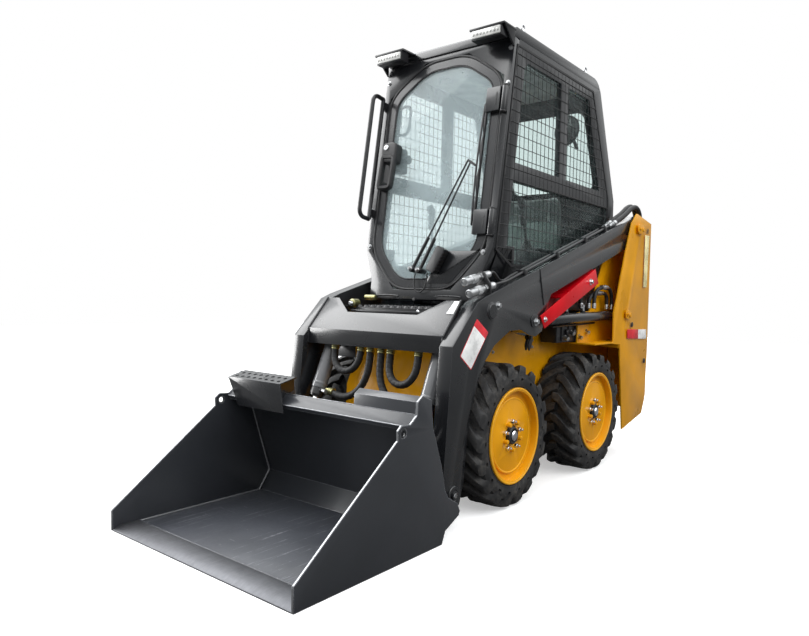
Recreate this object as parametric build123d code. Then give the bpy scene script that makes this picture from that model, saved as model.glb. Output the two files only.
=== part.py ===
"""Compact skid steer loader with an enclosed cab, lift arms and a bucket.

Units are millimetres. +X is the machine's left, the machine faces -Y, +Z is up and the
ground is z = 0. Stations along Y are measured from the front axle while the model is made;
save() then moves every piece so that the origin lies under the middle of its length.
"""
import math
import os

from build123d import *

# ---- driving dimensions -------------------------------------------------------------------
wheelbase = 827
tyre_radius = 292.5
tyre_width = 215
tyre_outer_x = 450
rim_radius = 197
lip_y = -1217                 # bucket lip, the foremost point
tail_y = 1583                 # rear door, the rearmost point
origin_shift_y = -(lip_y + tail_y) / 2

frame_half = 225              # outside of the chassis tub
frame_floor_z = 170
frame_top_z = 790
plate = 8

arm_inner_x, arm_outer_x = 360, 420
arm_pivot = (1382, 1257)      # (y, z) of the lift arm's pins
lift_base = (1225, 777)       # lift cylinder's rear pin
lift_eye = (190, 754)         # lift cylinder's rod eye
bucket_hinge = (-400, 130)
tilt_base = (-260.5, 765)     # tilt cylinder's upper pin, under the cross plate
tilt_eye = (-474, 270)        # tilt cylinder's rod eye, on the coupler
tilt_x = 290
tilt_pin_radius = 14
lift_x = 390

cab_half = 345
cab_wall = 26
cab_slope = 8.5               # lean of the cab's front, degrees
cab_base_z = 800
roof_z = 1995
front_ref = (-45, 1070)       # a point (y, z) on the cab's front face
front_wall = 38

bucket_half = 475
bucket_plate = 8
running_gap = 0.3             # radial gap between a pin and the bore that turns on it


# ---- helpers ------------------------------------------------------------------------------
def outline(points):
    """Closed face from corner points given in the plane's own two axes."""
    return make_face(Polyline(*points, close=True))


def slab_x(points, x_from, x_to):
    """Outline in (y, z), extruded along X."""
    return extrude(Plane.YZ.offset(x_from) * outline(points), amount=x_to - x_from)


def slab_y(points, y_from, y_to):
    """Outline in (x, z), extruded along Y."""
    return extrude(Plane.XZ.offset(-y_to) * outline(points), amount=y_to - y_from)


def block(x, y, z):
    """Box from its (low, high) spans along X, Y and Z."""
    size = [span[1] - span[0] for span in (x, y, z)]
    middle = [(span[0] + span[1]) / 2 for span in (x, y, z)]
    return Pos(*middle) * Box(*size)


def rod_x(at, radius, x_from, x_to):
    """Round bar along X at (y, z)."""
    place = Pos((x_from + x_to) / 2, at[0], at[1]) * Rot(0, 90, 0)
    return place * Cylinder(radius, x_to - x_from)


def bar_between(start, end, radius):
    """Round bar between two points in space."""
    axis = Vector(*end) - Vector(*start)
    plane = Plane(origin=start, z_dir=axis)
    return extrude(plane * Circle(radius), amount=axis.length)


def along(start, end, distance):
    """Point (y, z) at a distance from start towards end."""
    length = math.dist(start, end)
    return tuple(a + (b - a) * distance / length for a, b in zip(start, end))


def both(shape):
    """The shape and its mirror image on the machine's right."""
    return [shape, mirror(shape, Plane.YZ)]


def front_y(z):
    """Station of the cab's sloping front face at a height."""
    return front_ref[0] + (z - front_ref[1]) * math.tan(math.radians(cab_slope))


def save(name, *shapes):
    """Write one node. Several shapes in it are separate solids that do not touch."""
    shapes = [Pos(0, origin_shift_y, 0) * shape for shape in shapes]
    node = shapes[0] if len(shapes) == 1 else Compound(children=shapes)
    export_step(node, f"parts/{name}.step")


def save_pair(name, shape):
    """Write the left piece and its mirror image as two nodes."""
    save(f"{name}_left", shape)
    save(f"{name}_right", mirror(shape, Plane.YZ))


# ---- wheels -------------------------------------------------------------------------------
tyre_inner_x = tyre_outer_x - tyre_width
bead_radius = 190
hub_radius = 62
shaft_radius = 26


def make_tyre():
    """Solid tyre: a ring with rounded shoulders and a bulging side wall."""
    shoulder = 24
    half = tyre_width / 2
    profile = outline([
        (bead_radius, -half + 22), (bead_radius + 12, -half + 10), (bead_radius + 12, -half),
        (tyre_radius - 40, -half),
        (tyre_radius - 8, -half + shoulder), (tyre_radius, -half + 2 * shoulder),
        (tyre_radius, half - 2 * shoulder), (tyre_radius - 8, half - shoulder),
        (tyre_radius - 40, half), (bead_radius + 12, half), (bead_radius + 12, half - 10),
        (bead_radius, half - 22)])
    ring = revolve(Plane.XZ * profile, axis=Axis.Z)
    return Rot(0, 90, 0) * ring


def make_wheel():
    """Steel rim with a dished disc, five studs, the hub and its stub shaft, axis along X."""
    half = tyre_width / 2
    barrel_radius = bead_radius - 0.5
    barrel = Cylinder(barrel_radius, tyre_width - 20) - Cylinder(barrel_radius - 7, tyre_width)
    lip = Pos(0, 0, half - 6) * (Cylinder(rim_radius, 10) - Cylinder(barrel_radius - 7, 10))
    disc_z = half - 34
    disc = Pos(0, 0, disc_z) * Cylinder(barrel_radius - 3, 9)
    dish = Pos(0, 0, disc_z + 7) * (Cylinder(150, 10) - Cylinder(44, 20))
    bore = Pos(0, 0, disc_z) * Cylinder(40, 60)
    hub_length = disc_z + half - 40
    hub = Pos(0, 0, disc_z - hub_length / 2) * Cylinder(hub_radius, hub_length)
    shaft = Pos(0, 0, -half - 8) * Cylinder(shaft_radius, 150)
    studs = [Pos(0, 0, disc_z + 14) * spot * Cylinder(9, 34) for spot in PolarLocations(58, 5)]
    nose = Pos(0, 0, disc_z - 2) * Cylinder(30, 30)
    body = (barrel + lip + disc + dish) - bore + hub + shaft + nose
    for stud in studs:
        body = body + stud
    return Rot(0, 90, 0) * body


def make_wheels():
    tyre, wheel = make_tyre(), make_wheel()
    centre_x = tyre_outer_x - tyre_width / 2
    for row, station in (("front", 0), ("rear", wheelbase)):
        place = Pos(centre_x, station, tyre_radius)
        save_pair(f"tyre_{row}", place * tyre)
        save_pair(f"wheel_{row}", place * wheel)


def make_axle_housings():
    """Four flanged tubes on the tub's sides that carry the stub shafts."""
    housings = []
    for station in (0, wheelbase):
        at = (station, tyre_radius)
        tube = rod_x(at, 52, frame_half, tyre_inner_x + 36)
        flange = rod_x(at, 85, frame_half, frame_half + 6)
        bore = rod_x(at, shaft_radius + running_gap, frame_half - 5, tyre_inner_x + 50)
        housings += both(tube + flange - bore)
    save("axle_housings", *housings)


# ---- chassis ------------------------------------------------------------------------------
tub_front_y, tub_rear_y = -240, 1500
shelf_z = (628, 636)          # wheel arch shelf above the rear tyre
tower_inner_x = (335, 343)    # inner and outer plates that the arm runs between
tower_outer_x = (431, 439)


def make_tub():
    """Welded tub: two sides, floor, stepped front and rear cross member."""
    side = slab_x([
        (tub_front_y, 250), (tub_front_y + 80, frame_floor_z), (tub_rear_y - 60, frame_floor_z),
        (tub_rear_y, 250), (tub_rear_y, shelf_z[1]), (840, shelf_z[1]), (780, frame_top_z),
        (tub_front_y, frame_top_z)], frame_half - plate, frame_half)
    for station in (0, wheelbase):
        side -= rod_x((station, tyre_radius), 40, frame_half - 50, frame_half + 50)
    save_pair("chassis_side", side)
    inside = frame_half - plate
    floor = block((-inside, inside), (tub_front_y + 80, tub_rear_y - 60),
                  (frame_floor_z, frame_floor_z + plate))
    save("chassis_floor", floor)
    front = slab_x([
        (tub_front_y, 782), (-252, 782), (-258, 600), (-318, 470), (-326, 250), (-250, 182),
        (tub_front_y + 70, 182), (tub_front_y + 62, 190), (-244, 190), (-318, 256),
        (-310, 466), (-250, 596), (-246, 774), (tub_front_y, 774)], -200, 200)
    save("chassis_front", front)


def make_step():
    """Grated foot step on the tub's front edge, below the door."""
    tread = block((-205, 205), (-268, -90), (791, 803))
    for spot in GridLocations(34, 52, 11, 3):
        tread -= Pos(0, -180, 797) * spot * Box(20, 30, 30)
    save("front_step", tread)


def make_engine():
    """Engine and pumps, one plain mass at its real place."""
    save("engine", block((-170, 170), (1010, 1400), (240, 760)))


def make_towers():
    """Rear uprights: two plates with the arm between them, closed behind."""
    outer = slab_x([
        (1324, 1341), (1253, 1283), (1166, 1101), (1067, 858), (1034, 792), (1038, 625),
        (1130, 619), (1200, 150), (1500, 205), (1543, 286), (1560, 560), (1559, 1306)],
        *tower_outer_x)
    inner = slab_x([
        (1340, 1335), (1232, 1292), (940, 796), (800, 790), (800, 628), (1552, 628),
        (1551, 1300)], *tower_inner_x)
    web = block((tower_inner_x[0], tower_outer_x[1]), (1543, 1551), (300, 1295))
    lower_web = block((frame_half, tower_outer_x[1]), (1500, 1508), (230, 640))
    shelf = block((frame_half, tower_outer_x[1]), (800, 1545), shelf_z)
    front_web = block((tower_inner_x[0], tower_outer_x[0] + 2), (1128, 1136), (600, 636))
    arm_pin = rod_x(arm_pivot, 25, tower_inner_x[0] - 8, tower_outer_x[1] + 6)
    cylinder_pin = rod_x(lift_base, 16, tower_inner_x[0] - 8, tower_outer_x[1] + 4)
    tower = outer + inner + web + lower_web + shelf + front_web + arm_pin + cylinder_pin
    save_pair("tower", tower)


def make_bumper():
    """Rear bumper across the tail and the stops that the lowered arms rest beside."""
    bumper = slab_x([(1508, 225), (1552, 290), (1552, 420), (1524, 420), (1524, 306),
                     (1508, 296)], -tower_inner_x[0], tower_inner_x[0])
    save("rear_bumper", bumper)
    stop = block((frame_half, 322), (326, 362), (642, 692))
    foot = block((frame_half, 244), (306, 382), (604, 708))
    save("arm_stops", *both(stop + foot))


# ---- cab ----------------------------------------------------------------------------------
front_plane = Plane(origin=(0, front_ref[0], front_ref[1]), x_dir=(1, 0, 0),
                    z_dir=(0, -math.cos(math.radians(cab_slope)),
                           math.sin(math.radians(cab_slope))))
door_half = 305
door_axis = (330, 12)         # door hinge: X, and distance out from the front face
hinge_heights = (1162, 1682)
door_low_z, door_high_z = 888, 1920
door_gap = 6


def up_front(z):
    """Distance up the sloping front from its reference point to a height."""
    return (z - front_ref[1]) / math.cos(math.radians(cab_slope))


def door_outline(inset):
    """Eight-sided door outline on the sloping front, drawn in from its edge by an inset."""
    half = door_half - inset
    low, high = up_front(door_low_z) + inset, up_front(door_high_z) - inset
    corner = inset * 0.42     # keeps the slanted sides parallel to the full outline's
    return outline([
        (-half + 150 - corner, low), (half - 150 + corner, low), (half, low + 175 - corner),
        (half, high - 135 + corner), (half - 190 + corner, high),
        (-half + 190 - corner, high), (-half, high - 135 + corner),
        (-half, low + 175 - corner)])


def front_slab(face, outward_from, outward_to):
    """Face on the sloping front, extruded between two distances out from it."""
    return extrude(front_plane.offset(outward_from) * face, amount=outward_to - outward_from)


def make_cab_front():
    """Front frame with chamfered lower corners around the door opening."""
    face = outline([
        (-cab_half, up_front(1062)), (-295, up_front(930)), (-290, up_front(838)),
        (290, up_front(838)), (295, up_front(930)), (cab_half, up_front(1062)),
        (cab_half, up_front(1950)), (-cab_half, up_front(1950))])
    wall = front_slab(face, -front_wall, 0) - front_slab(door_outline(-door_gap), -60, 10)
    for z in hinge_heights:
        wall += front_slab(Pos(door_axis[0], up_front(z)) * Rectangle(24, 106), 0,
                           door_axis[1])
        place = front_plane.location * Pos(door_axis[0], up_front(z), door_axis[1])
        wall += place * Rot(90, 0, 0) * Cylinder(12, 106)
    save("cab_front", wall)


side_windows = (              # corners (y, z) of the openings in each side wall
    ("upper_front", [(116, 1430), (530, 1430), (530, 1868), (200, 1868), (176, 1846)]),
    ("upper_rear", [(606, 1430), (1010, 1430), (905, 1690), (850, 1868), (606, 1868)]),
    ("lower", [(64, 1074), (132, 1074), (132, 1000), (980, 1000), (1120, 1240), (1120, 1350),
               (106, 1350)]),
)


def make_cab_sides():
    """Side wall with three windows, stepped in at its lower front corner."""
    wall_x = (cab_half - cab_wall, cab_half)
    back = front_wall / math.cos(math.radians(cab_slope)) + 0.5
    side = slab_x([
        (front_y(1062) + back, 1062), (120, 1062), (120, cab_base_z), (925, cab_base_z),
        (1212, 1288), (1212, 1400), (1003, 1906), (992, 1934), (982, 1950),
        (front_y(1950) + back, 1950)], *wall_x)
    for _, corners in side_windows:
        side -= slab_x(corners, cab_half - 60, cab_half + 20)
    corner = slab_y([(345, 1062), (295, 930), (290, cab_base_z), (270, cab_base_z),
                     (275, 934), (322, 1062)], 2, 122)
    closing = slab_y([(345, 1062), (295, 930), (290, cab_base_z), (345, cab_base_z)], 112, 122)
    save_pair("cab_side", side + corner + closing)


def make_cab_rear():
    """Rear wall: sloping window wall above, a shelf over the engine, the bulkhead below."""
    inside = cab_half - cab_wall - 0.5
    wall = slab_x([
        (972, 1950), (1206, 1388), (1206, 1290), (924, cab_base_z + 10),
        (896, cab_base_z + 10), (1180, 1296), (1180, 1383), (946, 1950)],
        -inside, inside)
    window = Plane(origin=(0, 1090, 1668), x_dir=(1, 0, 0), z_dir=(0, 0.9232, 0.3844))
    opening = extrude(window * RectangleRounded(500, 420, 40), amount=80, both=True)
    save("cab_rear", wall - opening)
    glass = extrude(window * RectangleRounded(499, 419, 40), amount=6)
    return Pos(0, -12 * 0.9232, -12 * 0.3844) * glass


def make_cab_roof():
    """Roof cap with rounded upper edges."""
    roof = slab_x([(front_y(1950) - 6, 1950.5), (front_y(1990), roof_z), (906, roof_z),
                   (936, 1989), (962, 1974), (981, 1950.5)], -cab_half, cab_half)
    front_edge = roof.edges().filter_by(Axis.X).sort_by(Axis.Y)[:2].sort_by(Axis.Z)[-1]
    save("cab_roof", fillet(front_edge, 16))


def make_cab_floor():
    """Floor with the footwell that hangs down into the tub, and the seat's plinth."""
    deck = block((-cab_half + cab_wall + 0.5, cab_half - cab_wall - 0.5), (124, 894),
                 (cab_base_z, cab_base_z + 10))
    threshold = block((-269, 269), (-60, 124), (cab_base_z + 4, cab_base_z + 12))
    well_out = block((-198, 198), (-236, 330), (420, 790))
    well_out += block((-198, 198), (-84, 330), (780, cab_base_z + 8))
    well_in = block((-190, 190), (-228, 322), (428, cab_base_z + 60))
    plinth = block((-190, 190), (420, 893), (cab_base_z + 10, 905))
    save("cab_floor", (deck + threshold + well_out) - well_in + plinth)


def make_cab_glass(rear_glass):
    """Side panes in their openings and the rear window."""
    panes = [rear_glass]
    for _, corners in side_windows:
        middle_y = sum(y for y, _ in corners) / len(corners)
        middle_z = sum(z for _, z in corners) / len(corners)
        shrunk = [(middle_y + (y - middle_y) * 0.996, middle_z + (z - middle_z) * 0.996)
                  for y, z in corners]
        panes += both(slab_x(shrunk, cab_half - cab_wall + 6, cab_half - cab_wall + 11))
    save("cab_windows", *panes)


def make_side_screens():
    """Welded wire guards outside the side windows."""
    face = outline([(front_y(1050) + 20, 1050), (104, 985), (1012, 985), (1136, 1200),
                    (1136, 1400), (896, 1926), (front_y(1926) + 22, 1926)])
    sheet = extrude(Plane.YZ.offset(cab_half + 0.5) * face, amount=4)
    frame_in = offset(face, amount=-12)
    cells = Sketch() + [Pos(500, 1440) * spot * Rectangle(72, 92)
                        for spot in GridLocations(80, 100, 14, 10)]
    holes = extrude(Plane.YZ.offset(cab_half - 20) * (cells & frame_in), amount=40)
    save("side_screens", *both(sheet - holes))


def make_seat():
    cushion = block((-215, 215), (450, 880), (906, 1020))
    back = slab_x([(850, 1022), (940, 1040), (948, 1240), (940, 1420), (885, 1420),
                   (872, 1240)], -205, 205)
    save("seat_cushion", fillet(cushion.edges().filter_by(Axis.Z), 50))
    save("seat_back", back)


def make_controls():
    """Arm-rest pods either side of the seat, each with its lever."""
    pods = []
    for side in (1, -1):
        pod = block((228, 312), (330, 800), (cab_base_z + 11, 1090))
        lever = bar_between((268, 380, 1085), (262, 350, 1210), 9)
        grip = bar_between((262, 352, 1195), (258, 334, 1300), 20)
        shape = pod + lever + grip
        pods.append(shape if side > 0 else mirror(shape, Plane.YZ))
    save("cab_controls", *pods)


def make_lights():
    """Lamp bars under folded brackets at the roof's front corners."""
    lamps = []
    for side in (1, -1):
        top = block((180, 350), (-14, 86), (1974, 1982))
        gusset = slab_x([(-6, 1976), (79, 1976), (79, 1905)], 340, 348)
        lamp = block((190, 336), (-12, 40), (1932, 1975))
        shape = top + gusset + lamp
        lamps.append(shape if side > 0 else mirror(shape, Plane.YZ))
    save("work_lights", *lamps)


eye_stations = (227, 886)
eye_x = 300
eye_hole = 11


def make_lifting_eyes():
    """Four eye bolts that the machine is lifted by."""
    eyes = []
    for station in eye_stations:
        ring = Pos(eye_x, station, roof_z + 24) * Rot(0, 90, 0) * Cylinder(20, 9)
        hole = Pos(eye_x, station, roof_z + 24) * Rot(0, 90, 0) * Cylinder(eye_hole, 20)
        stem = Pos(eye_x, station, roof_z + 5) * Cylinder(8, 10)
        eyes += both(ring + stem - hole)
    save("lifting_eyes", *eyes)


def make_grab_handle():
    """Closed tube loop standing off the front on the machine's right."""
    near, far = 26, 96
    low, high = up_front(1205), up_front(1782)
    reach = Plane(origin=(-334, front_ref[0], front_ref[1]), x_dir=front_plane.z_dir,
                  z_dir=front_plane.z_dir.cross(front_plane.y_dir))
    path = reach * FilletPolyline(
        (near, low), (far, low), (far, high), (near, high), radius=34)
    tube = sweep(Plane(origin=path @ 0, z_dir=path % 0) * Circle(10), path=path)
    back = reach * Line((near, high), (near, low))
    back_bar = sweep(Plane(origin=back @ 0, z_dir=back % 0) * Circle(10), path=back)
    feet = []
    for height in (low + 30, high - 30):
        foot = front_slab(Pos(-334, height) * Rectangle(20, 34), 0, near)
        feet.append(foot)
    loop = tube + back_bar
    for foot in feet:
        loop += foot
    save("grab_handle", loop)


def make_door():
    """Octagonal door: steel frame, glass, handle."""
    rim = front_slab(door_outline(0), -28, -1) - front_slab(door_outline(38), -60, 10)
    gusset = front_slab(door_outline(1) & (Pos(190, up_front(888)) * Circle(238)), -24, -18)
    tongues = []
    for z in hinge_heights:
        tongue = front_slab(Pos(298, up_front(z)) * Rectangle(34, 104), 1, 10)
        tongue += front_slab(Pos(292, up_front(z)) * Rectangle(22, 104), -2, 2)
        tongues.append(tongue)
    frame = rim + gusset
    for tongue in tongues:
        frame += tongue
    save("door_frame", frame)
    glass = front_slab(door_outline(38.5), -12, -6)
    save("door_glass", glass)
    grip = front_slab(Pos(-262, up_front(1445)) * RectangleRounded(46, 222, 16), 34, 58)
    feet = [front_slab(Pos(-276, up_front(z)) * Rectangle(18, 34), -1, 36)
            for z in (1362, 1528)]
    save("door_handle", grip + feet[0] + feet[1])


# ---- rear covers --------------------------------------------------------------------------
rear_hinge = (322, 1577)      # rear door's vertical hinge (x, y)
hood_hinge = (1226, 1254)     # hood's hinge (y, z) along its front edge


def make_rear_covers():
    door = slab_x([(1546, 430), (1583, 450), (1583, 1150), (1546, 1186)], -318, 318)
    hinge_x, hinge_y = rear_hinge
    door += Pos(hinge_x, hinge_y, 800) * Cylinder(6, 600)
    for spot in GridLocations(250, 44, 2, 11):
        door -= Pos(0, 1583, 860) * Rot(90, 0, 0) * spot * Box(200, 16, 16)
    save("rear_door", door)
    hood = slab_x([(1222, 1240), (1222, 1262), (1300, 1272), (1500, 1252), (1562, 1196),
                   (1545, 1189), (1494, 1234), (1300, 1254)], -322, 322)
    hood += rod_x(hood_hinge, 11, -322, 322)
    save("hood", hood)


# ---- lift arms ----------------------------------------------------------------------------
def make_arms():
    """Each arm is a box beam with a deep front plate and a leg down to the bucket hinge."""
    body = slab_x([
        (1360, 1328), (1308, 1311), (973, 1215), (237, 987), (-208, 856), (-267, 833),
        (-425, 672), (-467, 160), (-440, 82), (-400, 65), (-356, 86), (-333, 160),
        (-302, 417), (-236, 556), (-204, 605), (-137, 665), (-21, 719), (70, 722),
        (140, 698), (200, 690), (262, 712), (286, 800), (340, 874), (997, 1071),
        (1214, 1136), (1365, 1184)], arm_inner_x, arm_outer_x)
    body += rod_x(arm_pivot, 76, arm_inner_x, arm_outer_x)
    pocket_x = (arm_inner_x + 9, arm_outer_x - 9)
    pocket = slab_x([(110, 640), (340, 640), (340, 830), (230, 860), (130, 830)], *pocket_x)
    body -= pocket
    body -= rod_x(arm_pivot, 25 + running_gap, arm_inner_x - 20, arm_outer_x + 20)
    body -= rod_x(bucket_hinge, 16 + running_gap, arm_inner_x - 20, arm_outer_x + 20)
    boss = rod_x((-165, 800), 34, arm_outer_x, arm_outer_x + 5)
    cap = rod_x(lift_eye, 22, arm_outer_x, arm_outer_x + 5)
    save_pair("arm", body + boss + cap)


def make_cross_plate():
    """Folded plate between the arms with a notched upper edge, and the tilt cylinder lugs."""
    half = arm_inner_x
    skin = slab_x([(-400, 641), (-400, 706), (-285, 838), (-277, 831), (-390, 702),
                   (-390, 641)], -half, half)
    notch = Plane(origin=(0, -334, 777), x_dir=(1, 0, 0), z_dir=(0, -0.754, 0.657))
    gap = extrude(notch * outline([(-186, 0), (186, 0), (341, 120), (-341, 120)]),
                  amount=40, both=True)
    plate_body = skin - gap
    flange = block((-half, half), (-398, -374), (641, 649))
    flange += block((-246, 246), (-398, -340), (641, 649))
    lugs = None
    for x in (tilt_x - 40, tilt_x + 40):
        lug = slab_x([(-392, 650), (-392, 700), (-300, 806), (-235, 806), (-228, 742),
                      (-330, 650)], x - 5, x + 5)
        for shape in both(lug):
            lugs = shape if lugs is None else lugs + shape
    for pin in both(rod_x(tilt_base, tilt_pin_radius, tilt_x - 48, tilt_x + 48)):
        lugs += pin
    save("arm_cross_plate", plate_body + flange + lugs)


def make_strut():
    """Red lift-arm safety strut, a channel stored under the left arm's beam."""
    wall = [(222, 778), (262, 724), (835, 938), (793, 1007)]
    strut = slab_x(wall, 350, 355) + slab_x(wall, 426, 431)
    strut += slab_x([(440, 857), (440, 864), (793, 1006), (793, 999)], 350, 431)
    save("safety_strut", strut)


coupler_starts = ((-297, 864), (-292, 908))   # front ends (y, z) of the quick couplers
coupler_xs = (398, 372)


def make_aux_lines():
    """Two quick couplers on a bracket and their pipes along the left arm's top edge."""
    bracket = block((362, 418), (-176, -168), (868.5, 952))
    lines = None
    for start, x in zip(coupler_starts, coupler_xs):
        slope = math.atan2(41, 190)
        tip = (x, start[0], start[1])
        end = (x, start[0] + 190 * math.cos(slope), start[1] + 190 * math.sin(slope))
        body = bar_between(tip, end, 15)
        lines = body if lines is None else lines + body
        # the pipe drops to the arm's top edge and follows it back
        rise = (1215 - 987) / (973 - 237)
        first = (x, -60, 987 + rise * (-60 - 237) + 14)
        last = (x, 1180, 987 + rise * (1180 - 237) + 14)
        lines += bar_between(end, first, 6)
        lines += bar_between(first, last, 6)
    save("aux_lines", lines + bracket)


# ---- cylinders ----------------------------------------------------------------------------
def cylinder(base, eye, x, bore_radius, rod_radius, barrel_length, rod_length, eye_half,
             retract):
    """Barrel and rod on the line from base pin to rod eye, with room for the rod to retract."""
    gland = along(base, eye, barrel_length)
    start = along(base, eye, 20)
    barrel = bar_between((x, *start), (x, *gland), bore_radius)
    barrel += rod_x(base, bore_radius + 2, x - eye_half, x + eye_half)
    bottom = along(eye, base, rod_length + retract + 4)
    barrel -= bar_between((x, *bottom), (x, *along(base, eye, barrel_length + 20)),
                          rod_radius + running_gap)
    rod = bar_between((x, *along(eye, base, rod_length)), (x, *along(eye, base, 12)),
                      rod_radius)
    rod += rod_x(eye, rod_radius + 11, x - eye_half + 4, x + eye_half - 4)
    return barrel, rod


def make_cylinders():
    barrel, rod = cylinder(lift_base, lift_eye, lift_x, 25, 15, 865, 745, 18, 0)
    barrel -= rod_x(lift_base, 16 + running_gap, lift_x - 60, lift_x + 60)
    save("lift_barrels", *both(barrel))
    save("lift_rods", *both(rod))
    barrel, rod = cylinder(tilt_base, tilt_eye, tilt_x, 27, 13, 380, 452, 22, 57)
    barrel -= rod_x(tilt_base, tilt_pin_radius + running_gap, tilt_x - 60, tilt_x + 60)
    save("tilt_barrels", *both(barrel))
    save("tilt_rods", *both(rod))


# ---- bucket -------------------------------------------------------------------------------
def make_bucket():
    inside = bucket_half - bucket_plate
    shell = slab_x([
        (-1117, 0), (-544, 0), (-494, 82), (-612, 430), (-695, 468), (-734, 432),
        (-726, 418), (-640, 404), (-620, 402), (-504, 86), (-552, 9), (-1117, 9)],
        -inside, inside)
    saddle = [(-697, 466), (-694, 508), (-668, 524), (-622, 508), (-611, 429)]
    for shape in both(slab_x(saddle, 195, inside)):
        shell += shape
    save("bucket_shell", shell)
    side = slab_x([
        (-1215, 0), (-1217, 74), (-792, 397), (-793, 427), (-775, 442), (-729, 440),
        (-695, 465), (-694, 508), (-668, 526), (-621, 508), (-607, 413), (-552, 273),
        (-527, 184), (-508, 157), (-450, 124), (-434, 94), (-440, 79), (-521, 43),
        (-540, 0)], inside, bucket_half)
    side -= rod_x(ear_at, 15, inside - 5, bucket_half + 5)
    save_pair("bucket_side", side)
    ear = rod_x(ear_at, 14.8, inside, bucket_half) - rod_x(ear_at, ear_hole, 400, 500)
    save("bucket_ears", *both(ear))
    edge = slab_x([(lip_y, 0), (-1117.2, 0), (-1117.2, 16), (-1190, 16), (lip_y, 5)],
                  -inside, inside)
    save("cutting_edge", edge)
    step_high, step_low = (-458, -145), (-390, -120)      # X spans of its face's two edges
    step = slab_y([(step_high[0], 510), (step_high[1], 510), (step_low[1], 402),
                   (step_low[0], 402)], -742, -736)
    step += slab_x([(-742, 504), (-742, 510), (-657, 530), (-657, 524)], *step_high)
    step += slab_x([(-742, 430), (-742, 509), (-657, 529), (-657, 480)], -163, -157)
    step -= shell
    for spot in GridLocations(36, 34, 8, 2):
        step -= Pos(-302, -702, 520) * spot * Cylinder(8, 60)
    save("bucket_step", step)


ear_at = (-765, 417)
ear_hole = 10


def make_coupler():
    """Frame between the arms, the tilt cylinders and the bucket's back."""
    frame = None
    for x_from, x_to in ((240, 254), (328, 352)):
        cheek = slab_x([
            (-400, 92), (-360, 110), (-360, 150), (-438, 190), (-444, 290), (-482, 320),
            (-556, 354), (-580, 424), (-607, 415), (-508, 118), (-470, 96)], x_from, x_to)
        for shape in both(cheek):
            frame = shape if frame is None else frame + shape
    top_bar = slab_x([(-583, 345), (-607, 415), (-580, 424), (-556, 354)], -352, 352)
    low_bar = slab_x([(-506, 122), (-462, 112), (-452, 150), (-500, 170), (-519, 160)],
                     -352, 352)
    frame += top_bar + low_bar
    clear = None
    for x in (tilt_x, -tilt_x):
        pocket = block((x - 36, x + 38), (-620, -440), (250, 470))
        clear = pocket if clear is None else clear + pocket
    shell_back = slab_x([(-493, 82), (-611, 430), (-621, 508), (-700, 508), (-700, 82)],
                        -500, 500)
    frame = frame - clear - shell_back
    for shape in both(rod_x(bucket_hinge, 16, 328, 432)):
        frame += shape
    # bosses beside the rod eyes, whose pins ride in the eyes
    for x_from, x_to in ((232, 254), (328, 346)):
        for shape in both(rod_x(tilt_eye, 22, x_from, x_to)):
            frame += shape
    save("coupler", frame)


# ---- hoses --------------------------------------------------------------------------------
hose_radius = 15
hose_routes = {               # points (x, y, z) down from under the cross plate
    "hose_loop_left": [(80, -362, 640), (79, -368, 592), (85, -378, 545), (120, -389, 508),
                       (175, -391, 504), (214, -383, 540), (224, -373, 590),
                       (222, -366, 640)],
    "hose_loop_right": [(-222, -366, 640), (-223, -371, 602), (-212, -379, 564),
                        (-177, -386, 536), (-125, -385, 533), (-89, -378, 562),
                        (-78, -369, 602), (-78, -362, 640)],
    "hose_drop_left": [(30, -360, 640), (28, -366, 580), (34, -374, 520), (62, -382, 466),
                       (112, -388, 432), (170, -392, 426), (232, -393, 440)],
    "hose_drop_right": [(-30, -360, 640), (-28, -366, 580), (-36, -374, 520),
                        (-66, -382, 464), (-116, -388, 430), (-172, -392, 424),
                        (-232, -393, 440)],
}


def make_hoses():
    """Hydraulic hoses hanging under the cross plate, as straight runs and tangent arcs."""
    for name, points in hose_routes.items():
        spots = [Vector(*p) for p in points]
        runs = [b - a for a, b in zip(spots, spots[1:])]
        radii = []
        for before, after in zip(runs, runs[1:]):
            turn = math.radians(before.get_angle(after))
            shorter = min(before.length, after.length)
            radii.append(0.45 * shorter / math.tan(turn / 2))
        path = FilletPolyline(*points, radius=radii)
        tube = sweep(Plane(origin=path @ 0, z_dir=path % 0) * Circle(hose_radius), path=path)
        ratio = tube.volume / (math.pi * hose_radius ** 2 * path.length)
        print(name, "length", round(path.length), "radii", [round(r) for r in radii],
              "volume ratio", round(ratio, 3))
        save(name, tube)


os.makedirs("parts", exist_ok=True)
make_wheels()
make_axle_housings()
make_tub()
make_step()
make_engine()
make_towers()
make_bumper()
make_cab_front()
make_cab_sides()
make_cab_glass(make_cab_rear())
make_cab_roof()
make_cab_floor()
make_side_screens()
make_seat()
make_controls()
make_lights()
make_lifting_eyes()
make_grab_handle()
make_door()
make_rear_covers()
make_arms()
make_cross_plate()
make_strut()
make_aux_lines()
make_cylinders()
make_bucket()
make_coupler()
make_hoses()
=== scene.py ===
import math

import bpy
import numpy as np
from mathutils import Matrix, Vector


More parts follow.
